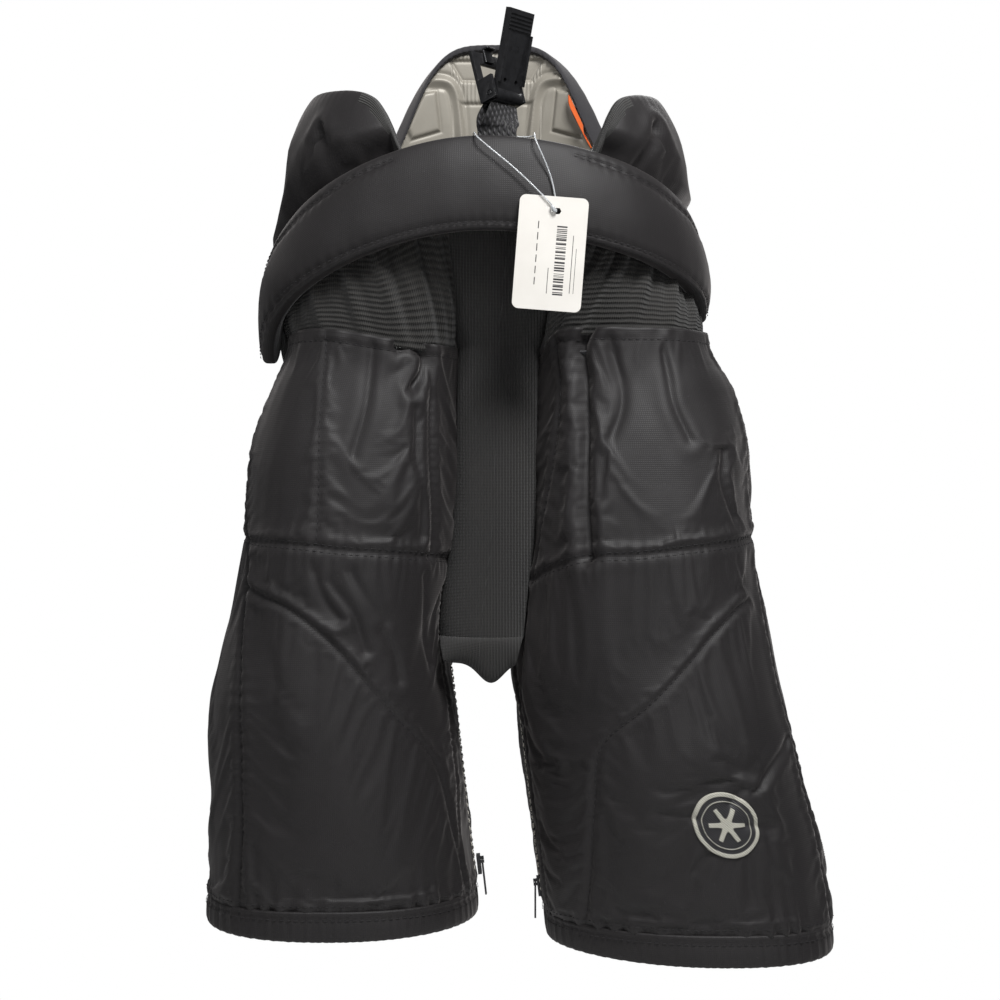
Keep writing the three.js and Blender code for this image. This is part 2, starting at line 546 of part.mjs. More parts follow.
const LEVER_HALF_WIDTH = FRAME_HALF_WIDTH - CHEEK - 0.6;
const handle = block([-LEVER_HALF_WIDTH, -3, 2], [LEVER_HALF_WIDTH, 0.6, LEVER_LENGTH]);
const cam = rod(CAM_RADIUS, 2 * LEVER_HALF_WIDTH);
let lever = handle.add(cam).subtract(rod(PIN_HOLE, 2 * LEVER_HALF_WIDTH + 2));
for (const sign of [-1, 1]) {
  const rail = [sign * LEVER_HALF_WIDTH, sign * (LEVER_HALF_WIDTH - 2)].sort((a, b) => a - b);
  lever = lever.add(block([rail[0], -5, 8], [rail[1], 0, LEVER_LENGTH - 14]));
  const hole = new THREE.CylinderGeometry(1.6, 1.6, 12, 12).translate(sign * 5.5, 0, 9.5);
  lever = lever.subtract(solid(hole));
}
const THUMB_RIBS = 5;
for (let i = 0; i < THUMB_RIBS; i++) {
  const z = LEVER_LENGTH - 2 - 2.4 * i;
  lever = lever.add(block([-LEVER_HALF_WIDTH + 1.5, -4, z - 1.2], [LEVER_HALF_WIDTH - 1.5, -2, z]));
}
add("buckle_lever", geometryOf(lever), "plastic", leverGroup);

// A strap from points {at, turn}: turn is the degrees that the webbing has turned about Z.
function webbing(points) {
  const place = (across, row, offset) => {
    const turn = radians(points[row].turn);
    const [x, y, z] = points[row].at;
    return [
      x + across * Math.cos(turn) - offset * Math.sin(turn),
      y + across * Math.sin(turn) + offset * Math.cos(turn),
      z,
    ];
  };
  const half = WEBBING_WIDTH / 2;
  return shell(place, [-half, half], [...points.keys()], -WEBBING_THICKNESS / 2, WEBBING_THICKNESS / 2);
}
part.updateMatrixWorld(true);
const seatOnFrame = frameGroup.localToWorld(new THREE.Vector3(0, (BASE[0] + BASE[1]) / 2, -4 - GAP)).toArray();
const seatOnCam = frameGroup.localToWorld(new THREE.Vector3(0, 0.5, -CAM_RADIUS - GAP)).toArray();
const firstY = beltInside + GAP + WEBBING_THICKNESS / 2;
const secondY = firstY + WEBBING_THICKNESS + GAP;
const webbingRight = webbing([
  { at: [-2, secondY, BELT_TOP - 34], turn: 0 },
  { at: [-2, secondY, BELT_TOP + 4], turn: 0 },
  { at: [-3, secondY + 1.5, BELT_TOP + 9], turn: 14 },
  { at: [-4, secondY + 4, BELT_TOP + 15], turn: 34 },
  { at: seatOnFrame, turn: BUCKLE_YAW },
]);
add("belt_webbing_right", webbingRight, "lining");
const webbingLeft = webbing([
  { at: [-2, firstY, BELT_TOP - 34], turn: 0 },
  { at: [-2, firstY, BELT_TOP + 4], turn: 0 },
  { at: [0, firstY - 0.6, BELT_TOP + 9], turn: 14 },
  { at: [1, firstY + 1, BELT_TOP + 14], turn: 34 },
  { at: seatOnCam, turn: BUCKLE_YAW },
]);
add("belt_webbing_left", webbingLeft, "lining");

// ---- The swing tag on its plastic loop ----
const TAG_FACE = waistPoint(0, BELT_RISE + 20, 0)[1] - 4.4;
const TAG_PLACE = [30, TAG_FACE, BELT_TOP - 76];
const TAG_TURN = 4.5;
const TAG_HOLE = [2.6, TAG_HEIGHT / 2 - 9];
const outline = new THREE.Shape();
const corner = 4;
const [hw, hh] = [TAG_WIDTH / 2, TAG_HEIGHT / 2];
outline.moveTo(-hw + corner, -hh);
outline.lineTo(hw - corner, -hh);
outline.absarc(hw - corner, -hh + corner, corner, -Math.PI / 2, 0);
outline.lineTo(hw, hh - corner);
outline.absarc(hw - corner, hh - corner, corner, 0, Math.PI / 2);
outline.lineTo(-hw + corner, hh);
outline.absarc(-hw + corner, hh - corner, corner, Math.PI / 2, Math.PI);
outline.lineTo(-hw, -hh + corner);
outline.absarc(-hw + corner, -hh + corner, corner, Math.PI, 1.5 * Math.PI);
outline.holes.push(new THREE.Path().absarc(...TAG_HOLE, 2.2, 0, 2 * Math.PI, true));
const card = new THREE.ExtrudeGeometry(outline, { depth: 0.8, bevelEnabled: false, curveSegments: 3 });
const tag = new THREE.Group();
tag.position.set(...TAG_PLACE);
tag.rotation.set(Math.PI / 2, radians(TAG_TURN), 0, "YXZ");
part.add(tag);
add("tag_card", card, "card", tag);
tag.updateMatrixWorld(true);
const hole = tag.localToWorld(new THREE.Vector3(...TAG_HOLE, 0.4));

const LOOP_Z = BELT_TOP + 2;
const behind = secondY + WEBBING_THICKNESS / 2 + 1;
const overFront = TAG_FACE + 3.6;
const loopPoints = [
  [4.4, behind, LOOP_Z],
  [-14, behind, LOOP_Z],
  [-16.6, behind - 3, LOOP_Z],
  [-16, overFront + 8, LOOP_Z - 0.6],
  [-14, overFront, LOOP_Z - 5],
  [12, TAG_FACE - 0.6, hole.z + 24],
  [hole.x - 2, TAG_FACE - 2, hole.z + 3],
  [hole.x, hole.y - 0.6, hole.z],
  [hole.x + 0.4, hole.y + 1.6, hole.z + 3],
  [hole.x - 3, overFront, hole.z + 22],
  [22, overFront, LOOP_Z - 6],
  [21.5, overFront + 8, LOOP_Z - 1],
  [21.5, behind - 3, LOOP_Z],
  [18.5, behind, LOOP_Z],
  [5.4, behind, LOOP_Z],
];
const loopCurve = new THREE.CatmullRomCurve3(loopPoints.map((point) => new THREE.Vector3(...point)));
const loopSection = new THREE.Shape();
loopSection.absarc(0, 0, TAG_LOOP_RADIUS, 0, 2 * Math.PI);
const loop = new THREE.ExtrudeGeometry(loopSection, { steps: 72, extrudePath: loopCurve, curveSegments: 8 });
add("tag_loop", loop, "filament");

// The hang point: the middle of the window in the buckle's frame.
const hang = frameGroup.localToWorld(new THREE.Vector3(0, (BASE[0] + BASE[1]) / 2, 19));
part.position.copy(hang).negate();

export default part;
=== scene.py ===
import math

import bmesh
import bpy
import numpy as np
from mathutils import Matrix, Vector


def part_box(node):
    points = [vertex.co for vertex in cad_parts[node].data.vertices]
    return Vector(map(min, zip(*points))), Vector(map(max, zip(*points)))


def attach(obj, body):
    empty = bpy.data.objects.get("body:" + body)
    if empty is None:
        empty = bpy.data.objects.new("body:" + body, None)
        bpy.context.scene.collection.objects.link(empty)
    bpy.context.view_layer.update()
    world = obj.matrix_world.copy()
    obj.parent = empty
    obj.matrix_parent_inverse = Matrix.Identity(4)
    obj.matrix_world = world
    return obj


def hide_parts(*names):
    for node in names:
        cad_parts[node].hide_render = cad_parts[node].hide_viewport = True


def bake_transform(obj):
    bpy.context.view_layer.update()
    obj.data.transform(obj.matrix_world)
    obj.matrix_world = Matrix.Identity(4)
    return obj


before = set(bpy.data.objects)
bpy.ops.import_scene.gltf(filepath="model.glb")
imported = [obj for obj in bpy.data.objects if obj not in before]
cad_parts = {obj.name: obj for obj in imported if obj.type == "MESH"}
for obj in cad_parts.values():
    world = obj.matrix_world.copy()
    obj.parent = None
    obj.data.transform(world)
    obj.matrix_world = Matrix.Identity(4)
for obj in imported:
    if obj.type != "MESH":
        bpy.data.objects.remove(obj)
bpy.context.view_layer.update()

# ---- Camera ----
# Level and straight in front of the hanging pants, at the height of the crotch.
scene = bpy.context.scene
scene.view_settings.view_transform = "Standard"
camera = bpy.data.objects.new("camera", bpy.data.cameras.new("camera"))
scene.collection.objects.link(camera)
scene.camera = camera
camera.location = (0.008, -1.2304, -0.2821)
camera.rotation_euler = (math.pi / 2, 0, 0)
camera.data.lens = 69.1
camera.data.shift_x = -0.002
camera.data.shift_y = 0.014

# ---- The swing tag's loop ----
# A clear polypropylene filament, drawn thin and springy. It passes behind the webbing, over the belt's top
# edge and through the card's hole, where its two ends lock together in a moulded knob.

# The patterns below are in millimetres with heights counted from the lower hem. This shift hangs them on the
# buckle.
belt_low, belt_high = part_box("front_belt_cover")
hem_low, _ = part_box("hem_band_left")
TO_HANG = np.array([500 * (belt_low.x + belt_high.x) + 10, 1000 * hem_low.y + 104.6, 1000 * hem_low.z])


def hung(points):
    """Pattern millimetres moved onto the hang point, in metres."""
    return (np.asarray(points, float) + TO_HANG) / 1000


def linear(colour):
    """An sRGB hex colour as the linear colour that a shader takes: the sRGB curve undone on each channel."""
    channels = np.array([int(colour[i : i + 2], 16) for i in (1, 3, 5)]) / 255
    lit = np.where(channels <= 0.04045, channels / 12.92, ((channels + 0.055) / 1.055) ** 2.4)
    return (*map(float, lit), 1.0)


def add_node(tree, kind, inputs=None, **settings):
    """Adds one shader node. An input is a value, or the socket that feeds it."""
    made = tree.nodes.new(kind)
    for name, value in settings.items():
        setattr(made, name, value)
    for name, value in (inputs or {}).items():
        if isinstance(value, bpy.types.NodeSocket):
            tree.links.new(value, made.inputs[name])
        else:
            made.inputs[name].default_value = value
    return made


def new_material(name, colour, **constants):
    """A material with one Principled shader, its constants set on its own sockets."""
    material = bpy.data.materials.new(name)
    material.use_nodes = True
    shader = material.node_tree.nodes["Principled BSDF"]
    shader.inputs["Base Color"].default_value = linear(colour)
    material.diffuse_color = linear(colour)
    for socket, value in constants.items():
        shader.inputs[socket.replace("_", " ")].default_value = value
    return material, material.node_tree, shader


# Drawn polypropylene: glassy and faintly milky, with soft streaks along it.
filament, tree, shader = new_material(
    "drawn_filament", "#dfe2e4", Roughness=0.18, Transmission_Weight=0.45, IOR=1.49
)
place = add_node(tree, "ShaderNodeTexCoord").outputs["Object"]
milk = add_node(tree, "ShaderNodeTexNoise", {"Vector": place, "Scale": 180.0, "Detail": 2.0}).outputs["Fac"]
tint = add_node(
    tree, "ShaderNodeMix", {"Factor": milk, "A": linear("#cfd4d8"), "B": linear("#f4f5f6")}, data_type="RGBA"
)
tree.links.new(tint.outputs["Result"], shader.inputs["Base Color"])


def through(knots, between):
    """A centripetal Catmull-Rom curve through the knots, as a row of points with so many between each two."""
    knots = np.asarray(knots, float)
    ends = np.vstack([2 * knots[0] - knots[1], knots, 2 * knots[-1] - knots[-2]])
    before, start, end, after = (ends[i : i + len(knots) - 1, None] for i in range(4))
    gaps = np.maximum(np.linalg.norm(np.diff(ends, axis=0), axis=1), 1e-6) ** 0.5
    t1 = gaps[:-2, None, None]
    t2 = t1 + gaps[1:-1, None, None]
    t3 = t2 + gaps[2:, None, None]
    t = t1 + (t2 - t1) * np.linspace(0, 1, between, endpoint=False)[None, :, None]
    a1 = (t1 - t) / t1 * before + t / t1 * start
    a2 = (t2 - t) / (t2 - t1) * start + (t - t1) / (t2 - t1) * end
    a3 = (t3 - t) / (t3 - t2) * end + (t - t2) / (t3 - t2) * after
    b1 = (t2 - t) / t2 * a1 + t / t2 * a2
    b2 = (t3 - t) / (t3 - t1) * a2 + (t - t1) / (t3 - t1) * a3
    curve = (t2 - t) / (t2 - t1) * b1 + (t - t1) / (t2 - t1) * b2
    return np.vstack([curve.reshape(-1, knots.shape[1]), knots[-1]])


LOOP_BEHIND = -88.6
LOOP_FRONT = -112.9
CARD_FACE = -116.5
CARD_HOLE = (34.7, -116.9, 473.2)
loop_route = [
    (4.4, LOOP_BEHIND, 525),
    (-14, LOOP_BEHIND, 525),
    (-16.6, LOOP_BEHIND - 3, 525),
    (-16, LOOP_FRONT + 8, 524.4),
    (-14, LOOP_FRONT, 520),
    (12, CARD_FACE - 0.6, CARD_HOLE[2] + 24),
    (CARD_HOLE[0] - 2, CARD_FACE - 2, CARD_HOLE[2] + 3),
    (CARD_HOLE[0], CARD_HOLE[1] - 0.6, CARD_HOLE[2]),
    (CARD_HOLE[0] + 0.4, CARD_HOLE[1] + 1.6, CARD_HOLE[2] + 3),
    (CARD_HOLE[0] - 3, LOOP_FRONT, CARD_HOLE[2] + 22),
    (22, LOOP_FRONT, 519),
    (21.5, LOOP_FRONT + 8, 524),
    (21.5, LOOP_BEHIND - 3, 525),
    (18.5, LOOP_BEHIND, 525),
    (5.4, LOOP_BEHIND, 525),
]
loop_line = hung(through(loop_route, 8))
strand = bpy.data.curves.new("tag_loop_filament", "CURVE")
strand.dimensions = "3D"
strand.bevel_depth = 0.0005
strand.bevel_resolution = 3
spline = strand.splines.new("POLY")
spline.points.add(len(loop_line) - 1)
spline.points.foreach_set("co", np.c_[loop_line, np.ones(len(loop_line))].astype(np.float32).ravel())
tag_loop = bpy.data.objects.new("tag_loop_filament", strand)
scene.collection.objects.link(tag_loop)
strand.materials.append(filament)
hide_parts("tag_loop")
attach(tag_loop, "tag")


def surface(name, points, materials, uv=None, closed_across=False, closed_up=False, smooth=True):
    """A mesh from a grid of points, rows by columns by 3 in metres, with four-sided faces between neighbours.
    Either way round may close on itself, and uv gives the cloth's own two measures in metres."""
    rows, columns = points.shape[:2]
    row, column = np.meshgrid(
        np.arange(rows if closed_up else rows - 1),
        np.arange(columns if closed_across else columns - 1),
        indexing="ij",
    )
    row, column = row.ravel(), column.ravel()
    up, over = (row + 1) % rows, (column + 1) % columns
    faces = np.stack(
        [row * columns + column, row * columns + over, up * columns + over, up * columns + column], 1
    )
    mesh = bpy.data.meshes.new(name)
    mesh.from_pydata(points.reshape(-1, 3).tolist(), [], faces.tolist())
    if uv is not None:
        layer = mesh.uv_layers.new(name="cloth")
        flat = uv.reshape(-1, 2)[faces.ravel()]
        layer.data.foreach_set("uv", flat.astype(np.float32).ravel())
    mesh.polygons.foreach_set("use_smooth", np.full(len(faces), smooth))
    for material in materials if isinstance(materials, list) else [materials]:
        mesh.materials.append(material)
    made = bpy.data.objects.new(name, mesh)
    scene.collection.objects.link(made)
    return made


def outward(piece, weld=1e-5):
    """Merges doubled points and turns every face outwards."""
    shape = bmesh.new()
    shape.from_mesh(piece.data)
    bmesh.ops.remove_doubles(shape, verts=shape.verts, dist=weld)
    bmesh.ops.recalc_face_normals(shape, faces=shape.faces)
    shape.to_mesh(piece.data)
    shape.free()
    return piece


# The moulded knob that locks the filament's two ends together in front of the hole: a small rounded barrel.
around = np.linspace(0, 2 * np.pi, 20, endpoint=False)[None, :]
length = np.linspace(0, 1, 14)[:, None]
barrel = 1.5 * np.sqrt(np.clip(1 - np.abs(2 * length - 1) ** 3.5, 0, 1)) + 0.02
knob_x = CARD_HOLE[0] - 1.5 + barrel * np.cos(around) + 2.2 * (length - 0.5)
knob_y = CARD_FACE - 2.6 + barrel * np.sin(around) + 0 * length
knob_z = CARD_HOLE[2] + 1 - 4.4 * (length - 0.5) + 0 * around
knob = surface("tag_loop_knob", hung(np.stack([knob_x, knob_y, knob_z], -1)), filament, closed_across=True)
outward(knob, 2e-5)
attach(knob, "tag")

# ---- The swing tag's card ----
# Coated board, die cut with rounded corners and a punched hole. It carries plain printed bars and rules only.

# Coated board: matt white with the faint mottle of paper fibre.
board, tree, shader = new_material("coated_board", "#efece8", Roughness=0.62)
place = add_node(tree, "ShaderNodeTexCoord").outputs["Object"]
fibre = add_node(tree, "ShaderNodeTexNoise", {"Vector": place, "Scale": 900.0, "Detail": 4.0}).outputs["Fac"]
mottle = add_node(tree, "ShaderNodeTexNoise", {"Vector": place, "Scale": 45.0, "Detail": 3.0}).outputs["Fac"]
tint = add_node(
    tree,
    "ShaderNodeMix",
    {"Factor": mottle, "A": linear("#d9d5ce"), "B": linear("#ebe8e2")},
    data_type="RGBA",
)
tree.links.new(tint.outputs["Result"], shader.inputs["Base Color"])
bump = add_node(tree, "ShaderNodeBump", {"Height": fibre, "Strength": 0.12, "Distance": 0.0002})
tree.links.new(bump.outputs["Normal"], shader.inputs["Normal"])
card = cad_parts["tag_card"]
card.data.materials.clear()
card.data.materials.append(board)

# Printing ink: a thin film that dulls the board.
ink, tree, shader = new_material("printing_ink", "#1d1c1e", Roughness=0.5)
place = add_node(tree, "ShaderNodeTexCoord").outputs["Object"]
grain = add_node(tree, "ShaderNodeTexNoise", {"Vector": place, "Scale": 1500.0, "Detail": 2.0}).outputs["Fac"]
tint = add_node(
    tree, "ShaderNodeMix", {"Factor": grain, "A": linear("#151416"), "B": linear("#3a383b")}, data_type="RGBA"
)
tree.links.new(tint.outputs["Result"], shader.inputs["Base Color"])

CARD_MIDDLE = (30, 447)
CARD_LEAN = math.radians(4.5)


def on_card(x, y, height=0.04):
    """A point on the card's face from its own two measures, turned by the card's lean."""
    right, up = CARD_MIDDLE
    return np.stack(
        [
            right + x * math.cos(CARD_LEAN) + y * math.sin(CARD_LEAN),
            CARD_FACE - 0.8 - height + 0 * x,
            up - x * math.sin(CARD_LEAN) + y * math.cos(CARD_LEAN),
        ],
        -1,
    )


# Bars of seeded widths in one column, and short rules beside it, each a thin closed slab.
rng = np.random.default_rng(7)
widths = rng.choice([0.35, 0.6, 0.95], 34)
starts = np.cumsum(widths + rng.choice([0.35, 0.6], 34))
starts = starts / starts[-1] * 44 - 27.5
bars = [(4.2, low, 10.6, low + wide) for low, wide in zip(starts, widths)]
bars += [(-7.8, -20 + 7 * i, -7.2, -15.4 + 7 * i) for i in range(6)]
bars += [(0.4, -25, 0.8, -9), (14.6, -24, 15.0, 12), (17.0, -24, 17.3, 4)]
bars = np.array(bars)
corners = np.stack([bars[:, [0, 1]], bars[:, [2, 1]], bars[:, [2, 3]], bars[:, [0, 3]]], 1)
slabs = np.concatenate([on_card(corners[..., 0], corners[..., 1], lift) for lift in (0.05, 0.01)], 1)
sides = np.array([[0, 1, 2, 3], [7, 6, 5, 4], [0, 4, 5, 1], [1, 5, 6, 2], [2, 6, 7, 3], [3, 7, 4, 0]])
faces = (sides[None] + 8 * np.arange(len(bars))[:, None, None]).reshape(-1, 4)
mesh = bpy.data.meshes.new("tag_printed_bars")
mesh.from_pydata(hung(slabs).reshape(-1, 3).tolist(), [], faces.tolist())
mesh.materials.append(ink)
print_bars = bpy.data.objects.new("tag_printed_bars", mesh)
scene.collection.objects.link(print_bars)
outward(print_bars, 1e-7)
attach(print_bars, "tag")

# ---- The leg covers ----
# Woven nylon, sewn from an upper and a lower thigh panel, a side strip, a seat panel and inner strips over
# foam. Each seam pulls the cloth down to a line of stitches, and the tops are turned over and stitched.
LEVELS = [0, 17.5, 60, 120, 165, 200, 225, 265, 330, 380, 395]
DEPTH_FLARE = [0, 0, 2, 4, 4, 2, 1, 0, -9, -20, -22]
LEG_TOP = 395
SEAT_TOP = 375
LEGS = {
    "right": {
        "side": -1,
        "lift": 12,
        "behind": 14,
        "shear": 0.06,
        "outer": [199, 198, 197, 194, 191, 186, 181, 173, 167, 150, 142],
        "inner": [15, 16.9, 21.7, 28.3, 33.3, 37.2, 36, 30, 26, 25, 25],
    },
    "left": {
        "side": 1,
        "lift": 0,
        "behind": -4,
        "shear": 0.2,
        "outer": [220, 219, 214, 200, 190.5, 181, 175, 167, 166, 153, 136],
        "inner": [32, 29.9, 24.8, 17.6, 12.2, 8, 12, 18, 20, 22, 23],
    },
}


def eased(height, levels, values):
    """A column of values read at a height, averaged over 24 mm so that no level shows as a corner."""
    spread = np.array([-12, -6, 0, 6, 12.0])
    return np.interp(np.asarray(height, float)[..., None] + spread, levels, values).mean(-1)


def oval(half_width, half_depth, across, forward, offset):
    """A superellipse of exponent 2.5 met in a direction, then moved along its own normal by the offset."""
    size = (np.abs(across / half_width) ** 2.5 + np.abs(forward / half_depth) ** 2.5) ** 0.4
    x, y = across / size, forward / size
    normal_x = np.sign(x) * np.abs(x) ** 1.5 / half_width**2.5
    normal_y = np.sign(y) * np.abs(y) ** 1.5 / half_depth**2.5
    length = np.hypot(normal_x, normal_y)
    return x + normal_x / length * offset, y + normal_y / length * offset


def leg_point(leg, angle, height, offset=0.0):
    """A point of a leg: angle 0 at the outer side, 90 in front, 180 inside and 270 behind, in pattern
    millimetres. A section is a superellipse; its lower part leans back and shears outwards as the leg hangs
    open."""
    angle, height, offset = np.broadcast_arrays(*(np.asarray(v, float) for v in (angle, height, offset)))
    outer = eased(height, LEVELS, leg["outer"])
    inner = eased(height, LEVELS, leg["inner"])
    depth = 100 + eased(height, LEVELS, DEPTH_FLARE)
    turn = np.radians(angle)
    x, y = oval((outer - inner) / 2, depth, np.cos(turn), -np.sin(turn), offset)
    hang = np.maximum(0, 1 - height / LEG_TOP)
    outwards = (outer + inner) / 2 + x - leg["shear"] * hang * y * np.abs(y) / 100
    return np.stack([leg["side"] * outwards, y + leg["behind"] * hang, height + leg["lift"] * hang], -1)


def top_shift(leg, angle):
    """How far a front cover's top edge stands above or below its level: 10 mm up outside, easing down to the
    inner corner, and down to the seat's level behind the hip."""
    angle = np.asarray(angle, float)
    inner, drop = (150, -6) if leg["side"] > 0 else (120, 0)
    start = 122 if leg["side"] > 0 else 60
    inside = np.clip((angle - start) / (inner - start), 0, 1)
    behind = np.clip((2 - angle) / 30, 0, 1)
    raised = 10 + (drop - 10) * inside * inside * (3 - 2 * inside)
    return raised - (raised + LEG_TOP - SEAT_TOP) * behind * behind * (3 - 2 * behind)


def warped(leg, angle, height):
    """A height moved with the top edge: nothing below 290 mm, the whole of the edge's shift at the top."""
    share = np.clip((height - 290) / (LEG_TOP - 290), 0, 1)
    return height + top_shift(leg, angle) * share * share * (3 - 2 * share)


def waves(points, wavelength, seed, count=7):
    """Soft seeded unevenness between about -1 and 1: sine waves of one wavelength running in several
    directions."""
    source = np.random.default_rng(seed)
    ways = source.normal(size=(count, points.shape[-1]))
    unit = 2 * np.pi / wavelength / np.linalg.norm(ways, axis=1, keepdims=True)
    ways *= unit * source.uniform(0.7, 1.4, (count, 1))
    return np.sin(points @ ways.T + source.uniform(0, 2 * np.pi, count)).sum(-1) / count**0.5


def from_line(points, line):
    """Each point's distance from a line of points, and how far along the line its nearest one lies, in
    millimetres."""
    along = np.concatenate([[0], np.cumsum(np.linalg.norm(np.diff(line, axis=0), axis=1))])
    flat = points.reshape(-1, 3)
    squared = (flat**2).sum(1)[:, None] + (line**2).sum(1)[None] - 2 * flat @ line.T
    nearest = squared.argmin(1)
    distance = np.sqrt(np.maximum(squared[np.arange(len(flat)), nearest], 0))
    return distance.reshape(points.shape[:-1]), along[nearest].reshape(points.shape[:-1])


def sewn_down(points, line, depth, width, pucker=0.5, pitch=8.0, seed=1):
    """How far the cloth stands in or out near a seam: a valley with rounded shoulders on each side,
    and small puckers that run out of it and die away."""
    distance, along = from_line(points, line)
    source = np.random.default_rng(seed)
    beat = along / pitch + 0.35 * np.sin(along / 23 + source.uniform(0, 6)) + 0.2 * np.sin(along / 9.1)
    valley = -depth * np.exp(-((distance / width) ** 2))
    shoulder = 0.35 * depth * np.exp(-(((distance - 2.6 * width) / (1.6 * width)) ** 2))
    crimp = pucker * np.sin(2 * np.pi * beat) * np.exp(-distance / (3.2 * width))
    crimp = crimp * (1 - np.exp(-((distance / 1.5) ** 2)))
    strength = 0.55 + 0.45 * np.sin(along / 31 + source.uniform(0, 6))
    return valley + shoulder + crimp * strength, distance


def settled(
    points, pinned, closed=False, grow=0.02, bending=1.0, pressure=0.3, weight=0.1, frames=14, cap=3.6
):
    """Cloth cut a little longer than its place, pinned at its seams and left to find its own folds: Blender's
    Cloth runs on the grid of points, whose faces look outwards. Each point keeps its move, rounded off
    towards the cap in millimetres, and moves in less than out, because foam lies under the cloth."""
    trial = surface("settling", hung(points), [], closed_up=closed)
    group = trial.vertex_groups.new(name="pinned")
    levels = np.round(np.clip(pinned, 0, 1) * 10).astype(int).ravel()
    for level in range(1, 11):
        group.add(np.nonzero(levels == level)[0].tolist(), level / 10, "REPLACE")
    cloth = trial.modifiers.new("cloth", "CLOTH")
    cloth.settings.quality = 4
    cloth.settings.mass = 0.25
    cloth.settings.tension_stiffness = 12
    cloth.settings.compression_stiffness = 12
    cloth.settings.shear_stiffness = 4
    cloth.settings.bending_stiffness = bending
    cloth.settings.tension_damping = 8
    cloth.settings.compression_damping = 8
    cloth.settings.vertex_group_mass = "pinned"
    cloth.settings.shrink_min = -grow
    cloth.settings.use_pressure = pressure > 0
    cloth.settings.uniform_pressure_force = pressure
    cloth.settings.effector_weights.gravity = weight
    cloth.collision_settings.use_collision = False
    cloth.point_cache.frame_start = 1
    cloth.point_cache.frame_end = frames
    for number in range(1, frames + 1):
        scene.frame_set(number)
    shape = trial.evaluated_get(bpy.context.evaluated_depsgraph_get()).data
    found = np.empty(len(shape.vertices) * 3, np.float32)
    shape.vertices.foreach_get("co", found)
    moved = found.reshape(points.shape) * 1000 - TO_HANG - points
    bpy.data.objects.remove(trial)
    scene.frame_set(1)
    normal = normals_of(points)
    out = (moved * normal).sum(-1, keepdims=True)
    slide = moved - out * normal
    length = np.maximum(np.linalg.norm(slide, axis=-1, keepdims=True), 1e-9)
    lift = np.where(out > 0, cap * np.tanh(out / cap), 1.5 * np.tanh(out / 1.5))
    return points + lift * normal + slide * 2 * np.tanh(length / 2) / length


def normals_of(points):
    """Unit normals of a grid of points, from the cross product of its two directions."""
    across, up = np.gradient(points, axis=1), np.gradient(points, axis=0)
    normal = np.cross(across, up)
    return normal / np.maximum(np.linalg.norm(normal, axis=-1, keepdims=True), 1e-9)


def cloth_uv(points):
    """The cloth's own two measures in metres: the distance along each row, and up the middle column."""
    along = np.linalg.norm(np.diff(points, axis=1), axis=-1).cumsum(1)
    across = np.concatenate([np.zeros((len(points), 1)), along], 1)
    across -= across[:, [across.shape[1] // 2]]
    up = np.linalg.norm(np.diff(points[:, points.shape[1] // 2], axis=0), axis=-1).cumsum()
    up = np.concatenate([[0], up])[:, None] + 0 * across
    return np.stack([across, up], -1)


# Woven nylon, dyed near black, calendered on its face: a soft satin sheen, threads seen only close up, faint
# bars where the dye took unevenly, and a little grey lint. Threads are 0.35 mm, drawn at 1.3 mm to show.
def woven_nylon(name, dark, light, thread=0.0013, roughness=0.44):
    """Nylon cloth: crossed thread waves for the bump, slow noise for the dye, fine noise for lint and
    gloss."""
    material, tree, shader = new_material(
        name, dark, Roughness=roughness, IOR=1.47, Sheen_Weight=0.3, Sheen_Roughness=0.4
    )
    shader.inputs["Sheen Tint"].default_value = linear("#c4bfbd")
    cloth = add_node(tree, "ShaderNodeUVMap", uv_map="cloth").outputs["UV"]
    place = add_node(tree, "ShaderNodeTexCoord").outputs["Object"]
    weave = {"Vector": cloth, "Scale": math.pi / (10 * thread), "Distortion": 0.35, "Detail": 1.0}
    warp = add_node(tree, "ShaderNodeTexWave", weave, bands_direction="X").outputs["Fac"]
    weft = add_node(tree, "ShaderNodeTexWave", weave, bands_direction="Y").outputs["Fac"]
    threads = add_node(tree, "ShaderNodeMath", {0: warp, 1: weft}, operation="MULTIPLY").outputs[0]
    dye = add_node(tree, "ShaderNodeTexNoise", {"Vector": place, "Scale": 14.0, "Detail": 4.0}).outputs["Fac"]
    tint = add_node(
        tree, "ShaderNodeMix", {"Factor": dye, "A": linear(dark), "B": linear(light)}, data_type="RGBA"
    )
    lint = add_node(
        tree, "ShaderNodeTexNoise", {"Vector": place, "Scale": 420.0, "Detail": 5.0, "Roughness": 0.7}
    )
    specks = add_node(
        tree,
        "ShaderNodeMapRange",
        {"Value": lint.outputs["Fac"], "From Min": 0.66, "From Max": 0.8, "To Max": 0.3},
    ).outputs["Result"]
    dusted = add_node(
        tree,
        "ShaderNodeMix",
        {"Factor": specks, "A": tint.outputs["Result"], "B": linear("#77757a")},
        data_type="RGBA",
    )
    tree.links.new(dusted.outputs["Result"], shader.inputs["Base Color"])
    gloss = add_node(
        tree,
        "ShaderNodeMapRange",
        {"Value": threads, "To Min": roughness + 0.1, "To Max": roughness - 0.06},
    ).outputs["Result"]
    tree.links.new(gloss, shader.inputs["Roughness"])
    crumple = add_node(
        tree, "ShaderNodeTexNoise", {"Vector": place, "Scale": 60.0, "Detail": 3.0}
    ).outputs["Fac"]
    soft = add_node(tree, "ShaderNodeBump", {"Height": crumple, "Strength": 0.25, "Distance": 0.0012})
    bump = add_node(
        tree,
        "ShaderNodeBump",
        {"Height": threads, "Strength": 0.2, "Distance": 0.0003, "Normal": soft.outputs["Normal"]},
    )
    tree.links.new(bump.outputs["Normal"], shader.inputs["Normal"])
    return material


nylon = woven_nylon("woven_nylon_black", "#161415", "#221f20", 0.0013, 0.54)

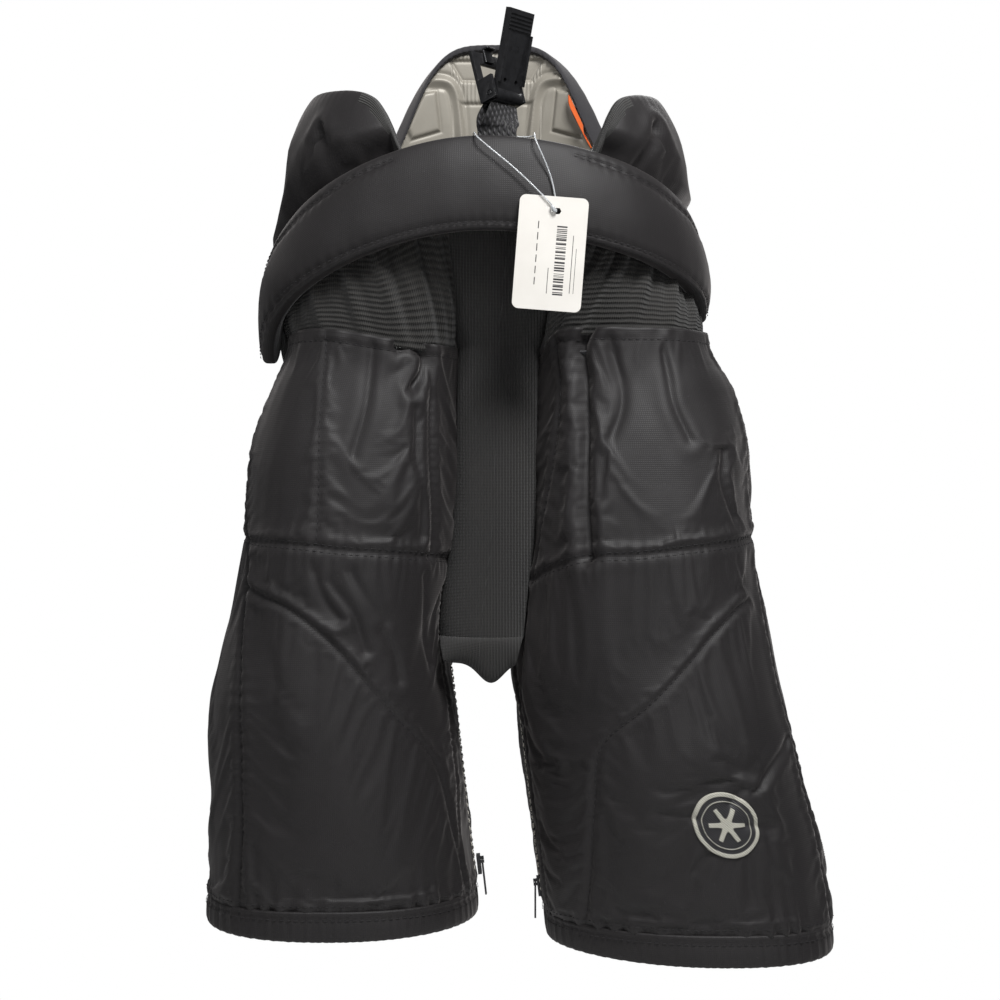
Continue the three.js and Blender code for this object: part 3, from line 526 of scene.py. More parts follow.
# Bonded polyester thread: a shade duller than the cloth it sinks into.
thread, tree, shader = new_material("bonded_thread", "#141314", Roughness=0.7)
place = add_node(tree, "ShaderNodeTexCoord").outputs["Object"]
ply = add_node(tree, "ShaderNodeTexNoise", {"Vector": place, "Scale": 2400.0, "Detail": 2.0}).outputs["Fac"]
tint = add_node(
    tree, "ShaderNodeMix", {"Factor": ply, "A": linear("#0f0e0f"), "B": linear("#2c2a2c")}, data_type="RGBA"
)
tree.links.new(tint.outputs["Result"], shader.inputs["Base Color"])
bump = add_node(tree, "ShaderNodeBump", {"Height": ply, "Strength": 0.4, "Distance": 0.0002})
tree.links.new(bump.outputs["Normal"], shader.inputs["Normal"])


def stitches(name, points, normals, material, length=3.0, gap=1.1, radius=0.32):
    """A row of stitches along a line of points in millimetres: each is a short six-sided thread that dips
    into the cloth at both ends. All of them are one mesh."""
    steps = np.concatenate([[0], np.cumsum(np.linalg.norm(np.diff(points, axis=0), axis=1))])
    starts = np.arange(0.5, steps[-1] - length, length + gap)
    share = np.linspace(0, 1, 5)
    at = starts[:, None] + share * length
    middle = np.stack([np.interp(at, steps, points[:, i]) for i in range(3)], -1)
    out = np.stack([np.interp(at, steps, normals[:, i]) for i in range(3)], -1)
    out /= np.maximum(np.linalg.norm(out, axis=-1, keepdims=True), 1e-9)
    ahead = middle[:, -1:] - middle[:, :1]
    ahead = ahead / np.maximum(np.linalg.norm(ahead, axis=-1, keepdims=True), 1e-9)
    side = np.cross(ahead, out)
    lift = radius * (0.9 * np.sin(np.pi * share) - 0.35)[None, :, None]
    thick = radius * np.sqrt(np.clip(1 - np.abs(2 * share - 1) ** 3, 0.05, 1))[None, :, None, None]
    turn = np.linspace(0, 2 * np.pi, 6, endpoint=False)[None, None, :, None]
    round_it = np.cos(turn) * side[:, :, None] + np.sin(turn) * out[:, :, None]
    ring = (middle + out * lift)[:, :, None] + thick * round_it
    count = len(starts)
    index = np.arange(count * 30).reshape(count, 5, 6)
    over = np.roll(index, -1, axis=2)
    quads = np.stack([index[:, :-1], over[:, :-1], over[:, 1:], index[:, 1:]], -1).reshape(-1, 4)
    caps = [index[:, 0, ::-1], index[:, -1]]
    mesh = bpy.data.meshes.new(name)
    mesh.from_pydata(hung(ring).reshape(-1, 3).tolist(), [], quads.tolist() + np.concatenate(caps).tolist())
    mesh.polygons.foreach_set("use_smooth", np.ones(len(mesh.polygons), bool))
    mesh.materials.append(material)
    made = bpy.data.objects.new(name, mesh)
    scene.collection.objects.link(made)
    return made


def joined(name, pieces):
    """Several meshes as one piece."""
    first = pieces[0]
    with bpy.context.temp_override(
        active_object=first, object=first, selected_objects=pieces, selected_editable_objects=pieces
    ):
        bpy.ops.object.join()
    first.name = name
    first.data.name = name
    return first


def read_grid(grid, row, column):
    """A grid of points read between its rows and columns: the four nearest, each by its share."""
    row = np.clip(row, 0, grid.shape[0] - 1.001)
    column = np.clip(column, 0, grid.shape[1] - 1.001)
    r, c = row.astype(int), column.astype(int)
    a, b = (row - r)[:, None], (column - c)[:, None]
    low = grid[r, c] * (1 - b) + grid[r, c + 1] * b
    high = grid[r + 1, c] * (1 - b) + grid[r + 1, c + 1] * b
    return low * (1 - a) + high * a


# Seams and folds of each leg as (angle, height) along the leg.
CROSS = {
    "right": [
        (-30, 268), (5, 267), (45, 264), (76, 261), (91, 258), (106, 256), (130, 253), (150, 251), (176, 249)
    ],
    "left": [
        (-30, 273), (7, 271), (45, 268), (82, 262), (97, 259), (115, 257), (132, 250), (147, 242), (176, 236)
    ],
}
DIAGONAL = {
    "right": [
        (50, 234), (62, 228), (77, 219), (93, 199), (106, 173), (118, 147), (133, 118), (146, 66), (156, 18)
    ],
    "left": [
        (50, 229), (59, 224), (72, 209), (84, 190), (101, 165), (119, 139), (126, 103), (134, 50), (140, 18)
    ],
}
SIDE = {
    "right": [(22, 394), (24, 305), (40, 270), (47, 251), (56, 200), (60, 159), (60, 92), (56, 18)],
    "left": [(28, 394), (26, 330), (30, 265), (38, 200), (40, 140), (38, 80), (36, 18)],
}
STRIP = {
    "right": [(121, 394), (124, 378), (126, 318), (131, 254)],
    "left": [(107, 394), (113, 382), (116, 340), (116, 300), (115, 258)],
}
SECOND = {
    "right": [(68, 394), (79, 324), (83, 262)],
    "left": [(128, 394), (128, 359), (136, 300), (147, 245)],
}
HOOK = {
    "right": [(104, 391), (110, 393), (118, 388), (119, 376), (115, 366)],
    "left": [(58, 322), (60, 306), (57, 292), (54, 283)],
}
CREASES = {
    "right": [
        [(90, 238), (99, 222), (104, 206), (107, 192)],
        [(97, 244), (105, 226), (113, 212)],
        [(84, 244), (90, 226), (96, 214)],
        [(112, 205), (118, 190), (120, 172)],
        [(117, 352), (119, 320), (122, 290), (124, 268)],
        [(92, 388), (95, 350), (93, 320)],
        [(128, 240), (132, 212), (138, 180)],
    ],
    "left": [
        [(45, 140), (60, 126), (71, 111)],
        [(98, 388), (99, 350), (108, 322), (110, 296)],
        [(74, 380), (77, 352), (73, 330)],
        [(66, 88), (77, 90)],
        [(94, 94), (106, 99)],
        [(76, 112), (81, 104)],
        [(92, 72), (98, 62)],
        [(150, 232), (152, 190), (156, 150)],
    ],
}
ZIP_EDGE = 176.6
# The covers start inside the hem bands.
COVER_LOW = 17.9


def leg_line(leg, path, between=24):
    """A path of (angle, height) marks as angles and heights close together, and its points on the leg."""
    marks = through(path, between)
    return marks, leg_point(leg, marks[:, 0], marks[:, 1])


def leg_cover(side, first, last, columns, rows):
    """One cover of a leg as a grid from hem to top. The cloth stands out over the foam, lies down along each
    seam, turns over at its top edge and gathers at the hem."""
    leg = LEGS[side]
    angle = np.linspace(first, last, columns)[None, :]
    share = np.linspace(0, 1, rows)[:, None]
    in_front = first < 0
    top = (LEG_TOP if in_front else SEAT_TOP) + 0 * angle
    height = COVER_LOW + share * (top - COVER_LOW)
    angle = angle + 0 * share
    base = leg_point(leg, angle, height)
    stand = 0.9 * waves(base, 150, 11 + leg["side"]) + 0.45 * waves(base, 60, 23 + leg["side"])
    stand += 0.12 * waves(base * [1, 1, 0.4], 17, 31)
    # Foam fills the panels between their seams.
    stand += 1.2 * np.sin(np.pi * np.clip((height - 20) / 240, 0, 1)) + 0.8 * np.sin(
        np.pi * np.clip((height - 268) / 122, 0, 1)
    )
    near = np.full(base.shape[:2], 1e3)
    for path, depth, width, pucker, pitch, seed in (
        (CROSS[side], 1.5, 2.4, 0.45, 7.0, 3),
        (DIAGONAL[side], 1.7, 2.2, 0.3, 9.0, 4),
        (SIDE[side], 1.9, 2.6, 0.8, 8.5, 5),
        (STRIP[side], 6.5 if side == "left" else 2.2, 4.2 if side == "left" else 3.0, 0.2, 15.0, 6),
        (SECOND[side], 1.0, 2.4, 0.25, 11.0, 7),
        (HOOK[side], 5.0 if side == "right" else 2.2, 3.6, 0.0, 15.0, 8),
        ([(209, 372), (210, 200), (210, 18)], 1.6, 2.4, 0.5, 9.0, 9),
        ([(330, 374), (330, 200), (330, 18)], 1.6, 2.4, 0.5, 9.0, 10),
        ([(210, 262), (240, 259), (270, 258), (300, 260), (330, 264)], 1.4, 2.4, 0.5, 8.0, 12),
        (
            [(150.5, 232), (151, 120), (152, 18)] if side == "right" else [(163, 224), (164, 120), (163, 18)],
            1.2,
            2.2,
            0.5,
            8.0,
            13,
        ),
    ):
        sunk, distance = sewn_down(base, leg_line(leg, path)[1], depth, width, pucker, pitch, seed)
        stand += sunk
        near = np.minimum(near, distance)
    for number, path in enumerate(CREASES[side]):
        stand += sewn_down(base, leg_line(leg, path)[1], 1.5, 2.8, 0.0, 15.0, number)[0]
    # The turned top edge stands up as a flat strip above its stitches.
    down = top - height
    stand += 0.9 * (1 - np.clip((down - 6.5) / 1.5, 0, 1)) - 0.9 * np.exp(-(((down - 7.4) / 1.0) ** 2))
    stand += 0.5 * np.exp(-down / 9) * np.sin(base[..., 0] / 2.4 + 1.4 * np.sin(base[..., 0] / 9))
    # Gathers run up from the hem.
    rise = height - COVER_LOW
    gather = 1.0 + 0.8 * np.sin(angle / 9)
    stand += gather * 0.8 * np.exp(-rise / 14) * np.sin(angle * 0.85 + 1.5 * np.sin(angle / 5.2))
    stand -= 1.2 * np.exp(-((rise / 3) ** 2))
    points = leg_point(leg, angle, warped(leg, angle, height) if in_front else height, stand)
    # The seams and the four edges hold the cloth while it settles.
    held = np.exp(-((near / 3.0) ** 2)) + np.exp(-((down / 5) ** 2)) + np.exp(-((rise / 4) ** 2))
    held += np.exp(-(((angle - first) / 2) ** 2)) + np.exp(-(((angle - last) / 2) ** 2))
    if side == "left":
        spot = leg_point(leg, 84, 90)
        held += np.exp(-((np.maximum(np.linalg.norm(base - spot, axis=-1) - 21, 0) / 3) ** 2))
    # The grid of the left leg runs the other way round, so it is turned to face outwards.
    way = slice(None, None, -int(leg["side"]))
    points = settled(points[:, way], np.clip(held, 0, 1)[:, way])[:, way]
    return angle, height, points, stand


COVERS = {}
for side in LEGS:
    body = f"leg_{side}"
    front_nodes = [
        f"{node}_{side}" for node in (
            "front_upper_panel", "front_lower_panel", "side_panel", "inner_front_panel"
        )
    ]
    back_nodes = [f"back_panel_{side}", f"inner_back_panel_{side}"]
    for name, first, last, columns, rows, nodes in (
        (f"leg_front_cover_{side}", -30, ZIP_EDGE, 205, 215, front_nodes),
        (f"leg_seat_cover_{side}", 183.4, 330, 110, 140, back_nodes),
    ):
        angle, height, points, stand = leg_cover(side, first, last, columns, rows)
        COVERS[name] = (angle, height, points, stand)
        placed = hung(points)[:, :: -LEGS[side]["side"]]
        cover = surface(name, placed, nylon, cloth_uv(placed))
        thickness = cover.modifiers.new("cloth", "SOLIDIFY")
        thickness.thickness = 0.0014
        thickness.offset = -1
        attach(cover, body)
        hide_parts(*nodes)

# Lines of stitches lie on the finished cloth, a pair at the cross seam and single ones elsewhere.
for side, leg in LEGS.items():
    rows = []
    for name, (angle, height, points, _) in COVERS.items():
        if not name.endswith(side):
            continue
        normal = normals_of(points)
        normal *= leg["side"] * -1
        first, last = angle[0, 0], angle[0, -1]
        front = "front" in name
        lines = []
        if front:
            for shift in (2.4, -2.4):
                lines.append([(a, h + shift) for a, h in CROSS[side]])
            lines += [DIAGONAL[side], SIDE[side], SECOND[side]]
            lines.append([(a, LEG_TOP - 7.4) for a in range(-28, 177, 8)])
            lines.append([(a, 23) for a in range(-28, 177, 8)])
        else:
            lines.append([(a, SEAT_TOP - 7.4) for a in range(212, 330, 8)])
            lines.append([(a, 260) for a in range(212, 330, 8)])
            lines.append([(a, 23) for a in range(186, 330, 8)])
        for number, path in enumerate(lines):
            marks = through(path, 30)
            column = (marks[:, 0] - first) / (last - first) * (points.shape[1] - 1)
            tops = np.interp(marks[:, 0], angle[0], height[-1])
            row = (marks[:, 1] - COVER_LOW) / (tops - COVER_LOW) * (points.shape[0] - 1)
            inside = (column > 1) & (column < points.shape[1] - 2) & (row > 1) & (row < points.shape[0] - 2)
            at = read_grid(points, row[inside], column[inside])
            out = read_grid(normal, row[inside], column[inside])
            rows.append(stitches(f"leg_stitching_{side}_{len(rows)}", at, out, thread, 3.4, 1.3, 0.28))
    seams = joined(f"leg_stitching_{side}", rows)
    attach(seams, f"leg_{side}")

# ---- Guards and foam in the thighs ----
# A moulded polyethylene plate lies under the front of each cover on a slab of closed-cell foam that wraps
# to the hip. Both are cut to the leg's curve and follow the cover's seams.

# Closed-cell polyethylene foam: matt grey with fine pores.
pad_foam, tree, shader = new_material("closed_cell_foam", "#7f7f7d", Roughness=0.95)
place = add_node(tree, "ShaderNodeTexCoord").outputs["Object"]
pores = add_node(tree, "ShaderNodeTexVoronoi", {"Vector": place, "Scale": 900.0}).outputs["Distance"]
tint = add_node(
    tree, "ShaderNodeMix", {"Factor": pores, "A": linear("#6a6a69"), "B": linear("#8f8f8d")}, data_type="RGBA"
)
tree.links.new(tint.outputs["Result"], shader.inputs["Base Color"])
bump = add_node(tree, "ShaderNodeBump", {"Height": pores, "Strength": 0.5, "Distance": 0.0004})
tree.links.new(bump.outputs["Normal"], shader.inputs["Normal"])

# Moulded polyethylene: waxy off-white with faint flow marks.
moulded_plate, tree, shader = new_material("moulded_polyethylene", "#d6d4cd", Roughness=0.42, IOR=1.51)
place = add_node(tree, "ShaderNodeTexCoord").outputs["Object"]
flow = add_node(tree, "ShaderNodeTexNoise", {"Vector": place, "Scale": 25.0, "Detail": 4.0}).outputs["Fac"]
tint = add_node(
    tree, "ShaderNodeMix", {"Factor": flow, "A": linear("#c8c6be"), "B": linear("#dedcd5")}, data_type="RGBA"
)
tree.links.new(tint.outputs["Result"], shader.inputs["Base Color"])
bump = add_node(tree, "ShaderNodeBump", {"Height": flow, "Strength": 0.1, "Distance": 0.0005})
tree.links.new(bump.outputs["Normal"], shader.inputs["Normal"])


def under_cover(side, first, last, low, high, columns, rows, outside):
    """Points under a leg's front cover: the leg's own surface moved in by a clearance, and by the cover's
    dips."""
    cover_angle, _, cover, stand = COVERS[f"leg_front_cover_{side}"]
    angle, height = np.meshgrid(np.linspace(first, last, columns), np.linspace(low, high, rows))
    column = (angle - cover_angle[0, 0]) / (cover_angle[0, -1] - cover_angle[0, 0]) * (cover.shape[1] - 1)
    row = (height - COVER_LOW) / (LEG_TOP - COVER_LOW) * (cover.shape[0] - 1)
    dip = read_grid(stand[..., None], row.ravel(), column.ravel()).reshape(angle.shape)
    return leg_point(LEGS[side], angle, warped(LEGS[side], angle, height), np.minimum(dip, 0) - outside)


for side, leg in LEGS.items():
    for name, node_names, material, first, last, low, high, outside, thick in (
        (f"thigh_plate_{side}", [f"thigh_guard_plate_{side}"], moulded_plate, 62, 133, 62, 374, 4.6, 2.6),
        (
            f"thigh_pad_{side}",
            [f"thigh_guard_foam_{side}", f"hip_guard_foam_{side}"],
            pad_foam,
            -29,
            149,
            30,
            388,
            7.8,
            6.0,
        ),
    ):
        points = hung(under_cover(side, first, last, low, high, 90, 110, outside))[:, :: -leg["side"]]
        slab = surface(name, points, material)
        depth = slab.modifiers.new("slab", "SOLIDIFY")
        depth.thickness = thick / 1000
        depth.offset = -1
        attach(slab, f"leg_{side}")
        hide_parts(*node_names)

# ---- Leg liners ----
# Brushed polyester tricot inside each leg. It curls out to the cover at the hem and at the top, where it is
# sewn in.

# Tricot: soft, matt and slightly fuzzy, its loops drawn at 2 mm.
tricot, tree, shader = new_material(
    "brushed_tricot", "#232225", Roughness=0.9, Sheen_Weight=0.3, Sheen_Roughness=0.6
)
cloth = add_node(tree, "ShaderNodeUVMap", uv_map="cloth").outputs["UV"]
loops = add_node(
    tree,
    "ShaderNodeTexWave",
    {"Vector": cloth, "Scale": math.pi / 0.02, "Distortion": 1.2, "Detail": 2.0},
    bands_direction="X",
).outputs["Fac"]
tint = add_node(
    tree, "ShaderNodeMix", {"Factor": loops, "A": linear("#1c1b1e"), "B": linear("#2e2d31")}, data_type="RGBA"
)
tree.links.new(tint.outputs["Result"], shader.inputs["Base Color"])
bump = add_node(tree, "ShaderNodeBump", {"Height": loops, "Strength": 0.3, "Distance": 0.0004})
tree.links.new(bump.outputs["Normal"], shader.inputs["Normal"])

for side, leg in LEGS.items():
    angle, height = np.meshgrid(np.linspace(-152, 152, 130), np.linspace(0, 1, 90))
    top = np.where(angle > -30, LEG_TOP + np.minimum(top_shift(leg, angle), 0) - 5, SEAT_TOP - 5)
    height = 8 + height * (top - 8)
    curl = np.maximum(np.exp(-(height - 8) / 11), np.exp(-(top - height) / 7))
    sag = 1.2 * waves(leg_point(leg, angle, height), 70, 41) * (1 - curl)
    points = hung(
        leg_point(leg, angle, height, -16.6 + 12.6 * curl + np.minimum(sag, 0.8))
    )[:, :: leg["side"]]
    liner = surface(f"leg_lining_{side}", points, tricot, cloth_uv(points))
    depth = liner.modifiers.new("cloth", "SOLIDIFY")
    depth.thickness = 0.0008
    depth.offset = 1
    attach(liner, f"leg_{side}")
    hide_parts(f"leg_liner_{side}")

# ---- Hem bands ----
# A doubled strip of the same nylon round each leg's lower edge, gathered a little where it was sewn on.


def pad_section(turns, fullness=0.6, squareness=0.5):
    """A closed padded section: its height share from 0 to 1 and its depth from -1 inside to 1 outside.
    Both are signed powers of the cosine and sine, so it has rounded edges and full faces."""
    turn = np.linspace(0, 2 * np.pi, turns, endpoint=False)
    up = np.sign(np.cos(turn)) * np.abs(np.cos(turn)) ** squareness
    out = np.sign(np.sin(turn)) * np.abs(np.sin(turn)) ** fullness
    return 0.5 + 0.5 * up, out


def flat_uv(points):
    """Cloth measures in metres for a closed section carried along a path: the way along it, and the way
    round."""
    along = np.linalg.norm(np.diff(points[0], axis=0), axis=-1).cumsum()
    along = np.concatenate([[0], along])[None] + 0 * points[..., 0]
    rows = np.concatenate(
        [[0], np.linalg.norm(np.diff(points[:, points.shape[1] // 2], axis=0), axis=-1).cumsum()]
    )
    return np.stack([along, rows[:, None] + 0 * along], -1)


for side, leg in LEGS.items():
    angle = np.linspace(-ZIP_EDGE, ZIP_EDGE, 420)[None, :]
    tall, deep = (part[:, None] for part in pad_section(26))
    run = angle * 1.7
    gather = 0.55 * np.sin(run * 2 * np.pi / 9.5 + 1.4 * np.sin(run / 21)) * (0.6 + 0.4 * np.sin(run / 37))
    gather += 0.3 * np.sin(run * 2 * np.pi / 4.7 + 2 * np.sin(run / 13))
    height = 0.2 + tall * 19.4 + 1.1 * np.sin(run / 33) * (1 - tall) + 0.5 * gather * (1 - tall)
    face = np.maximum(deep, 0)
    sewn = np.exp(-(((tall - 0.8) / 0.07) ** 2))
    offset = -1.5 + 1.7 * deep + face * (0.3 + 0.55 * gather) - 0.9 * face * sewn
    points = hung(leg_point(leg, angle, height, offset))
    hem = surface(f"hem_{side}", points, nylon, flat_uv(points), closed_up=True)
    shape = bmesh.new()
    shape.from_mesh(hem.data)
    bmesh.ops.holes_fill(shape, edges=[edge for edge in shape.edges if edge.is_boundary], sides=0)
    bmesh.ops.recalc_face_normals(shape, faces=shape.faces)
    shape.to_mesh(hem.data)
    shape.free()
    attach(hem, f"leg_{side}")
    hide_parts(f"hem_band_{side}")
    line = leg_point(leg, np.linspace(-174, 174, 200), 14.2 + 0 * np.linspace(0, 1, 200), 1.0)
    inner = leg_point(leg, np.linspace(-174, 174, 200), 14.2 + 0 * np.linspace(0, 1, 200), 0.0)
    hem_stitches = stitches(f"hem_stitching_{side}", line, line - inner, thread, 3.4, 1.3, 0.26)
    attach(hem_stitches, f"leg_{side}")

# ---- Inner leg zips ----
# Moulded plastic teeth on a woven tape up the inside of each leg, sewn in with off-white thread.

# Acetal teeth and polyester tape: satin black plastic, and a dull close weave.
tooth_plastic, tree, shader = new_material("moulded_acetal", "#141416", Roughness=0.3, IOR=1.48)
place = add_node(tree, "ShaderNodeTexCoord").outputs["Object"]
rub = add_node(tree, "ShaderNodeTexNoise", {"Vector": place, "Scale": 500.0, "Detail": 3.0}).outputs["Fac"]
tint = add_node(
    tree, "ShaderNodeMix", {"Factor": rub, "A": linear("#0f0f11"), "B": linear("#2b2b2f")}, data_type="RGBA"
)
tree.links.new(tint.outputs["Result"], shader.inputs["Base Color"])
tape_cloth = woven_nylon("woven_zip_tape", "#161517", "#1f1e21", 0.0012, 0.75)
pale_thread, tree, shader = new_material("off_white_thread", "#d8d4c8", Roughness=0.75)
place = add_node(tree, "ShaderNodeTexCoord").outputs["Object"]
ply = add_node(tree, "ShaderNodeTexNoise", {"Vector": place, "Scale": 2200.0, "Detail": 2.0}).outputs["Fac"]
tint = add_node(
    tree, "ShaderNodeMix", {"Factor": ply, "A": linear("#b5b1a6"), "B": linear("#e6e2d7")}, data_type="RGBA"
)
tree.links.new(tint.outputs["Result"], shader.inputs["Base Color"])

# Black nickel plate on a die casting: dark and smooth, with handling scratches.
nickel, tree, shader = new_material("plated_zip_metal", "#4a4a4b", Metallic=1.0, Roughness=0.35)
place = add_node(tree, "ShaderNodeTexCoord").outputs["Object"]
scratch = add_node(
    tree, "ShaderNodeTexNoise", {"Vector": place, "Scale": 700.0, "Detail": 4.0, "Distortion": 1.5}
).outputs["Fac"]
tint = add_node(
    tree,
    "ShaderNodeMix",
    {"Factor": scratch, "A": linear("#3a3a3b"), "B": linear("#666668")},
    data_type="RGBA",
)
tree.links.new(tint.outputs["Result"], shader.inputs["Base Color"])
gloss = add_node(
    tree, "ShaderNodeMapRange", {"Value": scratch, "To Min": 0.2, "To Max": 0.45}
).outputs["Result"]
tree.links.new(gloss, shader.inputs["Roughness"])

TOOTH_PITCH = 2.4
for side, leg in LEGS.items():
    low, high = leg_point(leg, 180, 24), leg_point(leg, 180, 185)
    up = (high - low) / np.linalg.norm(high - low)
    out = np.array([-leg["side"], 0.0, 0.0])
    across = np.cross(out, up)
    across /= np.linalg.norm(across)
    out = np.cross(up, across)
    long = float(np.linalg.norm(high - low))
    wide, tall = np.meshgrid(np.linspace(-6.4, 6.4, 9), np.linspace(0, long, 60))
    lift = -0.5 - 0.35 * (np.abs(wide) / 6.4) ** 2
    points = hung(low + wide[..., None] * across + tall[..., None] * up + lift[..., None] * out)
    tape = surface(f"zip_tape_{side}", points, tape_cloth, cloth_uv(points))
    depth = tape.modifiers.new("cloth", "SOLIDIFY")
    depth.thickness = 0.0006
    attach(tape, f"leg_{side}")
    count = int(long / TOOTH_PITCH)
    turn, rise = np.meshgrid(np.linspace(0, 2 * np.pi, 8, endpoint=False), np.linspace(-1, 1, 5))
    flat = np.sqrt(np.clip(1 - np.abs(rise) ** 3, 0.12, 1))
    tooth = np.stack([1.9 * flat * np.cos(turn), 1.2 * rise, 0.85 * flat * np.sin(turn)], -1).reshape(-1, 3)
    index = np.arange(count)
    centre = low + ((index + 0.5) * TOOTH_PITCH)[:, None] * up + (
        np.where(index % 2, 1.0, -1.0)
    )[:, None] * across
    teeth_points = centre[:, None] + tooth[None, :, :1] * across + 0.62 * tooth[None, :, 1:2] * up
    teeth_points = teeth_points + (tooth[None, :, 2:] + 0.55) * out
    grid = np.arange(count * 40).reshape(count, 5, 8)
    over = np.roll(grid, -1, axis=2)
    quads = np.stack([grid[:, :-1], over[:, :-1], over[:, 1:], grid[:, 1:]], -1).reshape(-1, 4)
    caps = np.concatenate([grid[:, 0, ::-1], grid[:, -1]])
    mesh = bpy.data.meshes.new(f"zip_teeth_{side}")
    mesh.from_pydata(hung(teeth_points).reshape(-1, 3).tolist(), [], quads.tolist() + caps.tolist())
    mesh.polygons.foreach_set("use_smooth", np.ones(len(mesh.polygons), bool))
    mesh.materials.append(tooth_plastic)
    teeth = bpy.data.objects.new(f"zip_teeth_{side}", mesh)
    scene.collection.objects.link(teeth)
    outward(teeth, 1e-7)
    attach(teeth, f"leg_{side}")
    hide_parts(f"zip_chain_{side}")
    seams = []
    for number, edge in enumerate((174.0, 186.0)):
        marks = np.linspace(30, 186, 120)
        line = leg_point(leg, edge + 0 * marks, marks, 0.9)
        inner = leg_point(leg, edge + 0 * marks, marks, 0)
        name = f"zip_stitching_{side}_{number}"
        seams.append(stitches(name, line, line - inner, pale_thread, 3.2, 2.2, 0.45))
    zip_seams = joined(f"zip_stitching_{side}", seams)
    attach(zip_seams, f"leg_{side}")
    for node in (f"zip_slider_{side}", f"zip_pull_{side}"):
        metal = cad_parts[node]
        metal.data.materials.clear()
        metal.data.materials.append(nickel)

# ---- Thigh badge ----
# A round embroidered patch: black twill with a raised off-white border, a thin inner ring and a plain
# six-armed star, sewn through the cover so that the nylon puckers round it.

# Rayon embroidery: glossy ridged thread, off-white on black.
rayon, tree, shader = new_material("rayon_embroidery", "#b9b7a8", Roughness=0.5, Sheen_Weight=0.15)
worked = add_node(tree, "ShaderNodeAttribute", attribute_name="embroidered").outputs["Fac"]
cloth = add_node(tree, "ShaderNodeUVMap", uv_map="cloth").outputs["UV"]
lay = add_node(
    tree,
    "ShaderNodeTexWave",
    {"Vector": cloth, "Scale": math.pi / 0.009, "Distortion": 2.0, "Detail": 2.0},
    bands_direction="DIAGONAL",
).outputs["Fac"]
pale = add_node(
    tree, "ShaderNodeMix", {"Factor": lay, "A": linear("#98968a"), "B": linear("#d2d0c4")}, data_type="RGBA"
)
dark = add_node(
    tree, "ShaderNodeMix", {"Factor": lay, "A": linear("#151417"), "B": linear("#29282c")}, data_type="RGBA"
)
tint = add_node(
    tree,
    "ShaderNodeMix",
    {"Factor": worked, "A": dark.outputs["Result"], "B": pale.outputs["Result"]},
    data_type="RGBA",
)
tree.links.new(tint.outputs["Result"], shader.inputs["Base Color"])
bump = add_node(tree, "ShaderNodeBump", {"Height": lay, "Strength": 0.5, "Distance": 0.0003})
tree.links.new(bump.outputs["Normal"], shader.inputs["Normal"])

BADGE_RADIUS = 21
ring, turn = np.meshgrid(np.linspace(0, 1, 90), np.linspace(0, 2 * np.pi, 180, endpoint=False), indexing="ij")
x, z = BADGE_RADIUS * ring * np.cos(turn), BADGE_RADIUS * ring * np.sin(turn)


def band(value, low, high, soft=0.02):
    """1 between two limits and 0 outside them, with soft edges."""
    return np.clip((value - low) / soft, 0, 1) * np.clip((high - value) / soft, 0, 1)


arms = np.abs(np.sin(3 * turn)) * ring
star = band(ring, 0.0, 0.56) * np.clip((0.13 - arms * 0.62) / 0.02, 0, 1)
star = np.maximum(star, band(ring, 0.0, 0.1))
worked = np.clip(band(ring, 0.86, 1.1) + band(ring, 0.70, 0.745) + star, 0, 1)
cover_angle, _, cover, _ = COVERS["leg_front_cover_left"]
column = (
    84 - np.degrees(x / 104) - cover_angle[0, 0]
) / (cover_angle[0, -1] - cover_angle[0, 0]) * (cover.shape[1] - 1)
row = (90 + z - COVER_LOW) / (LEG_TOP - COVER_LOW) * (cover.shape[0] - 1)
under = read_grid(cover, row.ravel(), column.ravel()).reshape(*x.shape, 3)
facing = read_grid(-normals_of(cover), row.ravel(), column.ravel()).reshape(*x.shape, 3)
thick = 1.1 * np.clip((1 - ring) / 0.03, 0, 1) ** 0.5 - 0.3 + 0.7 * worked
badge = surface(
    "thigh_patch",
    hung(under + facing * thick[..., None]),
    rayon,
    np.stack([x, z], -1) / 1000,
    closed_across=True,
)
layer = badge.data.attributes.new("embroidered", "FLOAT", "POINT")
layer.data.foreach_set("value", worked.astype(np.float32).ravel())
outward(badge, 1e-6)
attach(badge, "leg_left")
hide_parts("thigh_badge")

# ---- Stretch knit at the hips and the seat ----
# Ribbed polyester and elastane knit between the belt and the legs. Its ribs run round the body, and it is
# gathered under the belt into loose upright folds.
WAIST_LEVELS = [-15, 45, 105, 145, 175, 232]
WAIST_FLARE = [5, 0, -13, -19, -33, -45]
WAIST_DEPTH_FLARE = [2, 0, -4, -8, -11, -17]
WAIST_CENTRE = (-10, 5)


def waist_point(angle, rise, offset=0.0):
    """A point of the waist ring in pattern millimetres: angle 0 in front, 90 at the wearer's left, 180
    behind. Each level is a superellipse that narrows upwards."""
    angle, rise, offset = np.broadcast_arrays(*(np.asarray(v, float) for v in (angle, rise, offset)))
    turn = np.radians(angle)
    half_width = 150 + eased(rise, WAIST_LEVELS, WAIST_FLARE)
    half_depth = 120 + eased(rise, WAIST_LEVELS, WAIST_DEPTH_FLARE)
    x, y = oval(half_width, half_depth, np.sin(turn), -np.cos(turn), offset)
    return np.stack([WAIST_CENTRE[0] + x, WAIST_CENTRE[1] + y, LEG_TOP + rise], -1)
